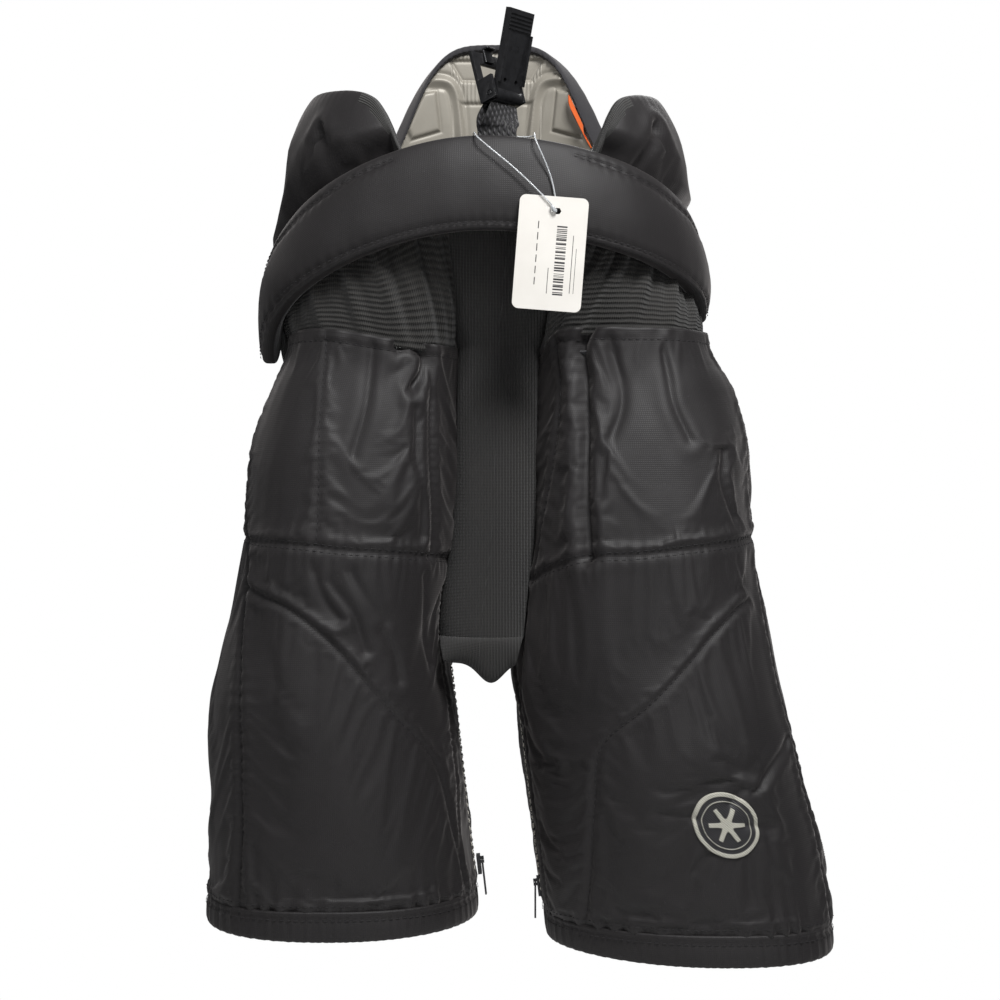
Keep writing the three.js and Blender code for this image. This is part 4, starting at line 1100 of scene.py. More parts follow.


# Rib knit: matt and slightly furry. Its colour is painted shade, nearly black in the rib valleys and lighter
# on the rib tops. Ribs are drawn at their real pitch.
def rib_knit(name, bands, pitch, dark="#131211", light="#34312d"):
    """Knit cloth: one wave across the cloth for the ribs, a finer one along them for the loops. Both make the
    bump and the colour, which carries painted shade in their valleys.
    """
    material, tree, shader = new_material(name, dark, Roughness=0.92, Sheen_Weight=0.12, Sheen_Roughness=0.7)
    cloth = add_node(tree, "ShaderNodeUVMap", uv_map="cloth").outputs["UV"]
    place = add_node(tree, "ShaderNodeTexCoord").outputs["Object"]
    other = "X" if bands == "Y" else "Y"
    rib = add_node(
        tree,
        "ShaderNodeTexWave",
        {"Vector": cloth, "Scale": math.pi / (10 * pitch), "Distortion": 0.5, "Detail": 1.0},
        bands_direction=bands,
    ).outputs["Fac"]
    loop = add_node(
        tree,
        "ShaderNodeTexWave",
        {"Vector": cloth, "Scale": math.pi / (5 * pitch), "Distortion": 0.8, "Detail": 1.0},
        bands_direction=other,
    ).outputs["Fac"]
    knit = add_node(tree, "ShaderNodeMath", {0: loop, 1: 0.35, 2: rib}, operation="MULTIPLY_ADD").outputs[0]
    # Painted shade: the colour runs from dark in the rib and loop valleys to light on their tops.
    high = add_node(
        tree, "ShaderNodeMapRange", {"Value": knit, "From Min": 0.2, "From Max": 1.25}
    ).outputs["Result"]
    tint = add_node(
        tree, "ShaderNodeMix", {"Factor": high, "A": linear(dark), "B": linear(light)}, data_type="RGBA"
    )
    fuzz = add_node(
        tree, "ShaderNodeTexNoise", {"Vector": place, "Scale": 30.0, "Detail": 5.0, "Roughness": 0.7}
    ).outputs["Fac"]
    worn = add_node(
        tree, "ShaderNodeMapRange", {"Value": fuzz, "From Min": 0.4, "From Max": 0.8, "To Max": 0.3}
    ).outputs["Result"]
    aged = add_node(
        tree,
        "ShaderNodeMix",
        {"Factor": worn, "A": tint.outputs["Result"], "B": linear("#2b2824")},
        data_type="RGBA",
    )
    tree.links.new(aged.outputs["Result"], shader.inputs["Base Color"])
    bump = add_node(tree, "ShaderNodeBump", {"Height": knit, "Strength": 0.9, "Distance": 0.0009})
    tree.links.new(bump.outputs["Normal"], shader.inputs["Normal"])
    return material


# Each knit's first colour is the painted shade of its rib valleys, its second the tone of its rib tops.
hip_rib = rib_knit("rib_knit_hip", "Y", 0.0027, "#121110", "#2a2825")
fly_rib = rib_knit("rib_knit_fly", "X", 0.0019, "#0d0c0c", "#211f1d")

BELT_RISE = 68
BELT_HEIGHT = 60
BELT_DEPTH = 14.6
BELT_END = 92
BELT_DROP = (78, 50)
SPINE_CENTRE = 175
SPINE_HALF = 41
# Under the belt the fly opens a little further than the legs do, and runs in behind the knit.
OPEN_FLY = (-3, 10)
FLY_OVERLAP = 3


def ring_angle(points):
    """The waist ring's angle that points look out to, in degrees."""
    return np.degrees(np.arctan2(points[..., 0] - WAIST_CENTRE[0], WAIST_CENTRE[1] - points[..., 1]))


def web(leg, first, last, bottom, top_of, offset_at_top, columns, rows, tuck):
    """Knit stretched from a leg's top edge up to a line in the waist ring: a straight blend of the two edges,
    bellied outwards between them and thrown into upright folds that tighten towards both edges."""
    angle, share = np.meshgrid(np.linspace(first, last, columns), np.linspace(0, 1, rows))
    in_front = last < 180
    edge = bottom + (top_shift(leg, angle) if in_front else 0)
    low = leg_point(leg, angle, edge - tuck, -2.8)
    ends = leg_point(leg, np.array([first, last]), bottom, 0)
    outer, middle = (ends[0], ends[1]) if in_front else (ends[1], ends[0])
    side_angle = ring_angle(outer)
    middle_angle = ring_angle(np.array([middle[0], WAIST_CENTRE[1] + (-114 if in_front else 114)]))
    middle_angle += OPEN_FLY[0 if leg["side"] < 0 else 1] if in_front else 0
    towards = (angle - first) / (last - first)
    towards = towards if in_front else 1 - towards
    facing = side_angle + (middle_angle - side_angle) * towards
    high = waist_point(facing, top_of(facing), offset_at_top(facing))
    points = low + (high - low) * share[..., None]
    belly = np.sin(np.pi * np.clip(share, 0, 1)) ** 0.8
    fold_run = angle * 1.55 + 9 * share
    folds = np.sin(fold_run * 2 * np.pi / 31 + 1.2 * np.sin(angle / 17))
    folds = folds + 0.55 * np.sin(fold_run * 2 * np.pi / 14.5 + 2.0 * np.sin(angle / 23))
    folds = folds * (0.25 + 0.75 * share) * (1 - np.clip((share - 0.94) / 0.06, 0, 1))
    normal = normals_of(points)
    outside = np.sign((normal * (points - [leg["side"] * 85, 0, 0])).sum(-1).mean())
    return points + normal * outside * (4.6 * belly + 2.6 * folds * np.clip(share / 0.12, 0, 1))[..., None]


def knit_top(angle):
    """How far up the knit reaches behind the belt and the wings."""
    wing_low = np.interp(np.abs(angle), [50, 90, 140], [68, 32, 22])
    beside = np.clip((np.abs(angle) - 24) / 12, 0, 1)
    return 86 + (wing_low - 2.6 - 86) * beside


def beside_back(angle):
    """1 under the kidney wings and 0 under the padded back, easing over 8 degrees at its edge."""
    share = np.clip((np.abs(np.mod(angle, 360) - SPINE_CENTRE) - SPINE_HALF + 7) / 8, 0, 1)
    return share * share * (3 - 2 * share)


def seat_top(angle):
    """The seat knit ends under the back, and rises to the wings beside it."""
    return 4.6 + (knit_top(np.mod(angle + 180, 360) - 180) - 4.6) * beside_back(angle)


def seat_offset(angle):
    """It meets the back's own depth, and lies behind the wings."""
    return -7.2 - 10 * beside_back(angle)


for side, leg in LEGS.items():
    for name, node, first, last, bottom, top_of, offset in (
        (
            f"hip_rib_{side}",
            f"hip_knit_{side}",
            -30,
            148,
            LEG_TOP,
            knit_top,
            lambda facing: -17.2 + 0 * facing,
        ),
        (f"seat_rib_{side}", f"seat_knit_{side}", 210, 329, SEAT_TOP, seat_top, seat_offset),
    ):
        points = hung(web(leg, first, last, bottom, top_of, offset, 260, 70, 4.5))
        knit = surface(name, points, hip_rib, cloth_uv(points))
        depth = knit.modifiers.new("cloth", "SOLIDIFY")
        depth.thickness = 0.0012
        depth.offset = 0
        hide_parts(node)
        area = float(
            np.linalg.norm(
                np.cross(np.diff(points, axis=0)[:, :-1], np.diff(points, axis=1)[:-1]), axis=-1
            ).sum()
        )
        long, tall = np.ptp(cloth_uv(points)[..., 0]), area / np.ptp(cloth_uv(points)[..., 0])
        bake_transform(knit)

# ---- Fly and gusset ----
# Finer rib knit with its ribs upright: a flat panel between the thighs, then a gusset under the crotch and
# up behind, each in a right and a left half.
EDGE_ANGLE = 150.5
FLY_LOW = 203


def fly_point(share, height):
    """The fly at a share from the right leg's edge to the left one's: flat in front, with rounded sides that
    drop back to the legs, and leaning in above the legs to pass behind the belt."""
    at = np.minimum(height, LEG_TOP)
    right, left = (leg_point(LEGS[side], EDGE_ANGLE + 4, at, -1.5) for side in ("right", "left"))
    bulge = 27 * np.sin(np.pi * np.clip(share, 0, 1)) ** 0.42
    low = right + (left - right) * share[..., None]
    low[..., 1] -= bulge - 0.8 * np.sin(share * 21) * np.clip((height - 300) / 90, 0.2, 1)
    low[..., 2] = height
    above = np.clip((height - LEG_TOP) / 86, 0, 1)[..., None]
    facing = ring_angle(np.stack([low[..., 0], WAIST_CENTRE[1] - 114 + 0 * share], -1))
    first, last = OPEN_FLY[0] - FLY_OVERLAP, OPEN_FLY[1] + FLY_OVERLAP
    facing = facing + first + (last - first) * share
    high = waist_point(facing, height - LEG_TOP, -17.2)
    return low + (high - low) * above


gusset_way = through(
    [
        (-80, 204),
        (-64, 191),
        (-46, 188),
        (-24, 193),
        (0, 195),
        (22, 198),
        (48, 208),
        (84, 265),
        (98, 335),
        (104, 392),
    ],
    24,
)


def gusset_point(share, way):
    """The gusset carried along a curve under the crotch, its edges following the inner sides of the legs.
    It starts at the fly's lower edge and sags into a small lobe in front of the middle."""
    at = np.stack([np.interp(way, np.linspace(0, 1, len(gusset_way)), gusset_way[:, i]) for i in (0, 1)], -1)
    y, z = at[..., 0], at[..., 1]
    height = np.minimum(z, SEAT_TOP)
    edges = []
    for leg in LEGS.values():
        shear = leg["shear"] * (1 - height / LEG_TOP) * y * y / 100
        inner = eased(height, LEVELS, leg["inner"])
        half_width = (eased(height, LEVELS, leg["outer"]) - inner) / 2
        rounded = (1 - (1 - (np.minimum(np.abs(y), 70) / 100) ** 2.5) ** 0.4) * half_width
        edges.append(inner - 0.2 + np.where(y > 0, -shear, 0.1 * rounded))
    x = -edges[0] + (edges[1] + edges[0]) * share
    lobe = 13 * np.exp(-(((x + 6) / 11) ** 2) - (((y + 52) / 16) ** 2))
    under = np.stack([x, y - 0.25 * lobe, z - lobe], -1)
    start = np.clip(way / 0.16, 0, 1)[..., None]
    start = start * start * (3 - 2 * start)
    return fly_point(share, FLY_LOW + 1 + 0 * share) * (1 - start) + under * start


for side, first, last in (("right", 0.0, 0.5), ("left", 0.5, 1.0)):
    leg = LEGS[side]
    share, height = np.meshgrid(np.linspace(first, last, 60), np.linspace(FLY_LOW, LEG_TOP + 84, 150))
    fly_points = hung(fly_point(share, height))
    share, way = np.meshgrid(np.linspace(first, last, 50), np.linspace(0, 1, 150))
    gusset_points = hung(gusset_point(share, way))
    edge = float(hung([leg["side"] * 22, 0, 0])[0])
    for name, node, points in (
        (f"fly_rib_{side}", f"fly_knit_{side}", fly_points),
        (f"gusset_rib_{side}", f"crotch_gusset_{side}", gusset_points),
    ):
        measure = cloth_uv(points)
        measure[..., 0] = points[..., 0]
        knit = surface(name, points, fly_rib, measure)
        depth = knit.modifiers.new("cloth", "SOLIDIFY")
        depth.thickness = 0.0012
        depth.offset = 0
        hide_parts(node)
        area = float(
            np.linalg.norm(
                np.cross(np.diff(points, axis=0)[:, :-1], np.diff(points, axis=1)[:-1]), axis=-1
            ).sum()
        )
        tall = float(np.ptp(measure[..., 1]))
        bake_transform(knit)

# ---- Front belt pad ----
# A foam pad in nylon across the belly, hung from the webbing. Its face is full and smooth, a line of stitches
# runs inside its upper edge, and the rolled lower edge is puckered by its binding.

# The binding's pucker runs this far up the belt's face.
BINDING_SHARE = 0.075


def belt_seam_share(angle):
    """How far up the belt's face the upper line of stitches runs: it falls a little towards the ends."""
    return 0.9 - 0.16 * np.clip((np.abs(angle) - 26) / 60, 0, 1)


def belt_low_edge(angle):
    """The belt's lower edge drops away from the middle towards each side, by one minus the cosine."""
    drop = np.where(angle < 0, BELT_DROP[0], BELT_DROP[1])
    return BELT_RISE - drop * (1 - np.cos(np.radians(angle)))


def end_closed(columns, length=0.03):
    """How much of its full section a pad has along its length: 1, falling to almost 0 in a round end."""
    way = np.linspace(0, 1, columns)
    edge = np.minimum(way, 1 - way) / length
    return np.sqrt(np.clip(1 - (1 - np.clip(edge, 0, 1)) ** 2, 0.0004, 1))[None, :]


columns = 300
angle = np.linspace(-BELT_END, BELT_END, columns)[None, :]
tall, deep = (part[:, None] for part in pad_section(56, 0.42, 0.62))
closed = end_closed(columns)
share = 0.5 + (tall - 0.5) * (0.55 + 0.45 * closed)
rise = belt_low_edge(angle) + share * BELT_HEIGHT
face = np.maximum(deep, 0)
run = angle * 2.3
offset = -7.3 + 7.3 * deep * closed + face * (2.6 * np.sin(np.pi * share) * closed)
stitched = np.clip((np.abs(angle) - 26) / 8, 0, 1)
seam_share = belt_seam_share(angle)
valley = np.exp(-(((share - seam_share) * BELT_HEIGHT / 1.7) ** 2))
offset -= face * stitched * 2.1 * valley
rolled = np.exp(-(((share - BINDING_SHARE) * BELT_HEIGHT / 1.5) ** 2))
offset -= face * 1.3 * rolled
pucker = np.sin(run * 2 * np.pi / 8.5 + 1.6 * np.sin(run / 17)) * (0.6 + 0.4 * np.sin(run / 29))
offset += face * 0.5 * pucker * np.exp(-(((share - BINDING_SHARE) * BELT_HEIGHT / 5) ** 2))
seam_pucker = np.sin(run * 2 * np.pi / 7 + np.sin(run / 11))
offset += face * stitched * 0.35 * seam_pucker * np.exp(-(((share - seam_share) * BELT_HEIGHT / 4) ** 2))
base = waist_point(angle, rise, 0)
offset += face * (0.8 * waves(base, 90, 51) + 0.25 * waves(base, 34, 52))
belt_grid = waist_point(angle, rise, offset)
belt_points = hung(belt_grid)
belt = surface("front_belt_pad", belt_points, [nylon, tricot], flat_uv(belt_points), closed_up=True)
inside = (deep < -0.2).ravel()
row_of_face = np.repeat(np.arange(len(inside)), columns - 1)
belt.data.polygons.foreach_set("material_index", inside[row_of_face].astype(np.int32))


def capped(piece):
    """Closes a pad's two round ends and turns its faces outwards."""
    shape = bmesh.new()
    shape.from_mesh(piece.data)
    bmesh.ops.holes_fill(shape, edges=[edge for edge in shape.edges if edge.is_boundary], sides=0)
    bmesh.ops.recalc_face_normals(shape, faces=shape.faces)
    for face in shape.faces:
        face.smooth = True
    shape.to_mesh(piece.data)
    shape.free()
    return piece


capped(belt)
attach(belt, "waist")
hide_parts("front_belt_cover", "front_belt_foam", "front_belt_lining")

belt_seams = []
for sign in (-1, 1):
    marks = np.linspace(27, 90, 160) * sign
    at_share = belt_seam_share(marks)
    marks_rise = belt_low_edge(marks) + at_share * BELT_HEIGHT
    line = waist_point(marks, marks_rise, 1.3)
    belt_seams.append(
        stitches(
            f"belt_stitching_{sign}", line, line - waist_point(marks, marks_rise, 0), thread, 3.2, 1.2, 0.3
        )
    )
marks = np.linspace(-89, 89, 300)
marks_rise = belt_low_edge(marks) + BINDING_SHARE * BELT_HEIGHT
line = waist_point(marks, marks_rise, -0.6)
belt_seams.append(
    stitches("belt_stitching_low", line, line - waist_point(marks, marks_rise, -2), thread, 3.2, 1.2, 0.3)
)
belt_seam = joined("front_belt_stitching", belt_seams)
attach(belt_seam, "waist")

# ---- Kidney wings ----
# Two foam wings that rise beside the back. Each is a padded nylon shell with a strip of rib knit down its
# front edge, and a deep crease where it folds in behind the belt.
WING_FRONTS = {"right": 25, "left": 34}
WING_OUTLINE = ([0, 16, 36, 52, 80, 160, 280, 380, 472], [112, 134, 151, 158, 162, 167, 173, 172, 161])
WING_BACKS = {"right": 143.4, "left": 133.4}
WING_CREASES = {
    "right": [[(53, 136), (58, 122), (63, 105), (69, 84)], [(53, 136), (48, 122), (43, 104)]],
    "left": [[(57, 140), (63, 118), (69, 92)], [(57, 140), (53, 126), (50, 108)]],
}

for side, leg in LEGS.items():
    sign = leg["side"]
    columns = 170
    first, last = WING_FRONTS[side], WING_BACKS[side]
    way = np.linspace(0, 1, columns)[None, :]
    angle = first + (last - first) * way
    low = np.interp(angle, [50, 90, 140], [68, 32, 22])
    high = eased((angle - first) * 4, *WING_OUTLINE)
    tall, deep = (part[:, None] for part in pad_section(60, 0.45, 0.6))
    closed = end_closed(columns, 0.045)
    share = 0.5 + (tall - 0.5) * (0.8 + 0.2 * closed)
    rise = low + share * (high - low)
    belt_top = belt_low_edge(sign * angle) + BELT_HEIGHT
    beside = 1 - np.clip((angle - BELT_END - 5) / 12, 0, 1)
    beside = beside * beside * (3 - 2 * beside)
    clear = np.clip((rise - np.minimum(belt_top, high - 18)) / 20, 0, 1)
    setback = (BELT_DEPTH + 2.0) * beside * (1 - clear * clear * (3 - 2 * clear))
    face = np.maximum(deep, 0)
    offset = -8 + 7.6 * deep * closed + face * 1.6 * np.sin(np.pi * share) * closed - setback
    base = waist_point(sign * angle, rise, 0)
    for number, path in enumerate(WING_CREASES[side]):
        marks = through([(sign * a, r) for a, r in path], 24)
        line = waist_point(marks[:, 0], marks[:, 1], 0)
        offset += face * sewn_down(base, line, 3.2, 3.4, 0.35, 9.0, 60 + number)[0]
    offset += face * (0.9 * waves(base, 80, 61 + sign) + 0.35 * waves(base, 30, 63))
    offset += 0.3 * face * np.exp(-((1 - share) / 0.06)) * np.sin(angle * 1.9 + np.sin(angle / 4))
    wing_points = hung(waist_point(sign * angle, rise, offset))
    wing = surface(
        f"kidney_wing_{side}", wing_points, [nylon, hip_rib, tricot], flat_uv(wing_points), closed_up=True
    )
    rows = len(tall)
    kind = np.zeros((rows, columns - 1), np.int32)
    kind[(deep < -0.35).ravel()] = 2
    rim = (rise > high - 7) & (angle - first < 15) & (deep > -0.9)
    kind[(rim | (way < 0.04))[:, :-1] & (deep > -0.9)] = 1
    wing.data.polygons.foreach_set("material_index", kind.ravel())
    capped(wing)
    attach(wing, "waist")
    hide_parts(f"kidney_wing_cover_{side}", f"kidney_wing_foam_{side}")

# ---- The padded back ----
# A tall spine pad: nylon outside, foam and a moulded guard within, closed round the top by a fabric binding.
def spine_top(angle):
    """The back's upper edge: level in the middle, falling away to both shoulders."""
    return 229 - 74 * (np.abs(angle - SPINE_CENTRE) / SPINE_HALF) ** 3.8


columns = 150
angle = np.linspace(SPINE_CENTRE - SPINE_HALF, SPINE_CENTRE + SPINE_HALF, columns)[None, :]
tall, deep = (part[:, None] for part in pad_section(70, 0.45, 0.62))
closed = end_closed(columns, 0.02)
share = tall + 0 * angle
rise = 5 + share * (spine_top(angle) - 5)
face = np.maximum(deep, 0)
offset = -8 + 7.6 * deep * (0.5 + 0.5 * closed)
base = waist_point(angle, rise, 0)
for number, path in enumerate(
    (
        [(152, 190), (156, 120), (158, 30)],
        [(198, 190), (194, 120), (192, 30)],
        [(140, 120), (175, 116), (210, 120)],
    )
):
    marks = through(path, 30)
    offset += face * sewn_down(
        base, waist_point(marks[:, 0], marks[:, 1], 0), 1.9, 2.6, 0.5, 8.0, 70 + number
    )[0]
offset += face * (0.8 * waves(base, 85, 71) + 0.3 * waves(base, 30, 72) + 1.4 * np.sin(np.pi * share))
back_points = hung(waist_point(angle, rise, offset))
back = surface("back_pad", back_points, nylon, flat_uv(back_points), closed_up=True)
capped(back)
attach(back, "waist")
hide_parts("back_cover", "back_foam", "spine_guard_plate")

# ---- The moulded back liner ----
# Compression-moulded foam bonded under a silvery knitted skin. Flat islands and ridges are pressed into it,
# with fine upright ribs in the valleys between them.

# Heat-pressed tricot over foam: warm silver-grey with a metallic lift on its faces, finely lined.
pressed_skin, tree, shader = new_material(
    "pressed_silver_skin", "#a9a49a", Roughness=0.46, Metallic=0.12, Sheen_Weight=0.2, Sheen_Roughness=0.4
)
cloth = add_node(tree, "ShaderNodeUVMap", uv_map="cloth").outputs["UV"]
place = add_node(tree, "ShaderNodeTexCoord").outputs["Object"]
worked = add_node(tree, "ShaderNodeAttribute", attribute_name="pressed").outputs["Fac"]
lines = add_node(
    tree,
    "ShaderNodeTexWave",
    {"Vector": cloth, "Scale": math.pi / 0.029, "Distortion": 0.4, "Detail": 1.0},
    bands_direction="X",
).outputs["Fac"]
ribbed = add_node(tree, "ShaderNodeMath", {0: lines, 1: worked}, operation="MULTIPLY").outputs[0]
mottle = add_node(tree, "ShaderNodeTexNoise", {"Vector": place, "Scale": 40.0, "Detail": 5.0}).outputs["Fac"]
tint = add_node(
    tree,
    "ShaderNodeMix",
    {"Factor": mottle, "A": linear("#8b867c"), "B": linear("#a8a398")},
    data_type="RGBA",
)
shade = add_node(tree, "ShaderNodeMapRange", {"Value": ribbed, "To Max": 0.4}).outputs["Result"]
lined = add_node(
    tree,
    "ShaderNodeMix",
    {"Factor": shade, "A": tint.outputs["Result"], "B": linear("#cdc8bd")},
    data_type="RGBA",
)
tree.links.new(lined.outputs["Result"], shader.inputs["Base Color"])
grain = add_node(tree, "ShaderNodeTexNoise", {"Vector": place, "Scale": 900.0, "Detail": 3.0}).outputs["Fac"]
fine = add_node(tree, "ShaderNodeBump", {"Height": grain, "Strength": 0.15, "Distance": 0.0003})
bump = add_node(
    tree,
    "ShaderNodeBump",
    {"Height": ribbed, "Strength": 0.6, "Distance": 0.0007, "Normal": fine.outputs["Normal"]},
)
tree.links.new(bump.outputs["Normal"], shader.inputs["Normal"])

columns, rows = 330, 300
angle, share = np.meshgrid(
    np.linspace(SPINE_CENTRE - SPINE_HALF, SPINE_CENTRE + SPINE_HALF, columns), np.linspace(0, 1, rows)
)
rise = 25 + share * (spine_top(angle) - 25)
base = waist_point(angle, rise, -19)
flat = base[..., [0, 2]] - [-3, LEG_TOP]
flat[..., 0] = np.abs(flat[..., 0])


def island(points, corners, bevel):
    """How far a point is inside a polygon with rounded walls: 0 outside, rising to 1 within the bevel's
    width. The distance is the least of those to the polygon's sides, which are taken clockwise."""
    corners = np.array(corners, float)
    sides = np.roll(corners, -1, axis=0) - corners
    inward = np.stack([sides[:, 1], -sides[:, 0]], -1) / np.linalg.norm(sides, axis=1)[:, None]
    depth = ((points[..., None, :] - corners) * inward).sum(-1).min(-1)
    step = np.clip(depth / bevel + 0.5, 0, 1)
    return step * step * (3 - 2 * step), depth


press = np.zeros_like(rise)
quiet = np.zeros_like(rise)
for corners, height in (
    ([(-34, 221), (34, 221), (25, 206), (-25, 206)], -2.2),
    ([(44, 198), (56, 196), (70, 178), (62, 163), (41, 170)], 2.0),
    ([(40, 150), (64, 150), (60, 92), (36, 96)], 2.0),
    ([(-26, 190), (26, 190), (20, 150), (-20, 150)], -1.2),
    ([(-20, 138), (20, 138), (24, 70), (-24, 70)], 1.6),
):
    step, depth = island(flat, corners, 2.6)
    press += height * step - 0.9 * np.exp(-((depth / 1.4) ** 2))
    quiet = np.maximum(quiet, step)
ridge = through([(52, 206), (33, 203), (25, 160), (22, 120), (30, 60)], 30)
ridge3 = np.stack([ridge[:, 0], 0 * ridge[:, 0], ridge[:, 1]], -1)
flat3 = np.stack([flat[..., 0], 0 * flat[..., 0], flat[..., 1]], -1)
distance, _ = from_line(flat3, ridge3)
press += 2.2 * np.exp(-((distance / 2.6) ** 2)) - 0.8 * np.exp(-(((distance - 5.4) / 1.6) ** 2))
ribs = np.clip(1 - quiet, 0, 1) * (flat[..., 0] < 33) * np.clip((distance - 4) / 2, 0, 1)
edge = np.minimum(share * (spine_top(angle) - 25), (1 - share) * (spine_top(angle) - 25))
edge = np.minimum(edge, (SPINE_HALF - np.abs(angle - SPINE_CENTRE)) * 2.2)
press = press * np.clip(edge / 6, 0, 1) - 2.4 * np.exp(-edge / 3.0)
liner_points = hung(waist_point(angle, rise, -19.2 - press))
liner = surface("back_liner_pressed", liner_points, pressed_skin, cloth_uv(liner_points))
layer = liner.data.attributes.new("pressed", "FLOAT", "POINT")
layer.data.foreach_set("value", ribs.astype(np.float32).ravel())
depth = liner.modifiers.new("foam", "SOLIDIFY")
depth.thickness = 0.0022
depth.offset = 1
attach(liner, "waist")
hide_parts("back_liner")

# ---- Binding and tab on the back ----
# A dark grey woven tape folded over the top edge and sewn through, and a small orange tape tab folded in
# under it.

# Grosgrain tape: dull, with fine ribs across it.
grosgrain = woven_nylon("grosgrain_binding", "#2a292c", "#3b3a3d", 0.0012, 0.8)
columns = 320
angle = np.linspace(SPINE_CENTRE - SPINE_HALF, SPINE_CENTRE + SPINE_HALF, columns)[None, :]
turn = np.linspace(0, 2 * np.pi, 30, endpoint=False)[:, None]
drop = np.sign(np.sin(turn)) * np.abs(np.sin(turn)) ** 0.7
deep = np.sign(np.cos(turn)) * np.abs(np.cos(turn)) ** 0.4
run = angle * 2
rise = spine_top(angle) - 0.4 + 3.6 * np.maximum(drop, 0) + (2.6 + 0.3 * np.sin(run)) * np.minimum(drop, 0)
offset = -10.6 + 11.4 * deep + 0.25 * np.sin(run * 2 * np.pi / 6) * np.sign(deep)
binding_points = hung(waist_point(angle, rise, offset))
binding = surface("back_binding", binding_points, grosgrain, flat_uv(binding_points), closed_up=True)
capped(binding)
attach(binding, "waist")
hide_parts("back_liner_binding")
marks = np.linspace(SPINE_CENTRE - SPINE_HALF + 1, SPINE_CENTRE + SPINE_HALF - 1, 260)
line = waist_point(marks, spine_top(marks) - 1.4, -22.3)
binding_seam = stitches(
    "back_binding_stitching",
    line,
    line - waist_point(marks, spine_top(marks) - 1.4, -20),
    thread,
    2.8,
    1.2,
    0.34,
)
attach(binding_seam, "waist")

# Woven polyester tape: bright orange in front and dark plum behind.
tab_front = woven_nylon("woven_tab_orange", "#c9501c", "#e8702e", 0.0014, 0.75)
tab_behind = woven_nylon("woven_tab_plum", "#2b2033", "#3b2c44", 0.0014, 0.75)
across, down = np.meshgrid(np.linspace(-1, 1, 24), np.linspace(0, 1, 40))
tab_angle = 139.4 + 2.4 * across - 1.6 * down
tab_rise = spine_top(tab_angle + 1.6 * down) - 3 - 17 * down
tab_points = hung(waist_point(tab_angle, tab_rise, -23.4 - 3.2 * np.sin(np.pi * down * 0.9) - 0.8 * across))
tab = surface("liner_tab_folded", tab_points, [tab_front, tab_behind], cloth_uv(tab_points))
depth = tab.modifiers.new("cloth", "SOLIDIFY")
depth.thickness = 0.0012
kind = np.zeros((39, 23), np.int32)
kind[24:, 13:] = 1
tab.data.polygons.foreach_set("material_index", kind.ravel())
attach(tab, "waist")
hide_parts("liner_tab")

# The tailbone pad hangs from the back between the legs: a foam slab in a nylon sleeve.
tall, deep = (part[:, None] for part in pad_section(40, 0.5, 0.45))
across = np.linspace(-28, 19, 60)[None, :]
closed = end_closed(60, 0.12)
rise = -92 + 97 * (0.5 + (tall - 0.5) * (0.75 + 0.25 * closed))
middle_y = waist_point(180, 0, -11.2)[1]
depth_y = middle_y + 4.4 * deep * closed * (1 + 0.25 * np.sin(np.pi * tall))
tailbone_points = hung(np.stack([across + 0 * rise, depth_y + 0 * across, LEG_TOP + rise + 0 * across], -1))
tailbone = surface("tailbone_pad", tailbone_points, nylon, flat_uv(tailbone_points), closed_up=True)
capped(tailbone)
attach(tailbone, "waist")
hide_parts("tailbone_guard")

# ---- Belt webbing and buckle ----
# Black polyester webbing comes up out of the belt from both sides, crosses and turns into the buckle: a
# moulded frame with two cheeks, a steel pin and catch, and a long lever with a ribbed thumb end, hanging
# open.

# Coarse webbing: thick ribs across, a little shiny.
strap, tree, shader = new_material("woven_webbing", "#161517", Roughness=0.6, Sheen_Weight=0.1)
cloth = add_node(tree, "ShaderNodeUVMap", uv_map="cloth").outputs["UV"]
across_ribs = add_node(
    tree,
    "ShaderNodeTexWave",
    {"Vector": cloth, "Scale": math.pi / 0.02, "Distortion": 0.6, "Detail": 1.0},
    bands_direction="DIAGONAL",
).outputs["Fac"]
along_ribs = add_node(
    tree,
    "ShaderNodeTexWave",
    {"Vector": cloth, "Scale": math.pi / 0.03, "Distortion": 0.4, "Detail": 1.0},
    bands_direction="X",
).outputs["Fac"]
woven = add_node(tree, "ShaderNodeMath", {0: across_ribs, 1: along_ribs}, operation="MULTIPLY").outputs[0]
tint = add_node(
    tree, "ShaderNodeMix", {"Factor": woven, "A": linear("#0d0c0d"), "B": linear("#333135")}, data_type="RGBA"
)
tree.links.new(tint.outputs["Result"], shader.inputs["Base Color"])
bump = add_node(tree, "ShaderNodeBump", {"Height": woven, "Strength": 0.9, "Distance": 0.0008})
tree.links.new(bump.outputs["Normal"], shader.inputs["Normal"])

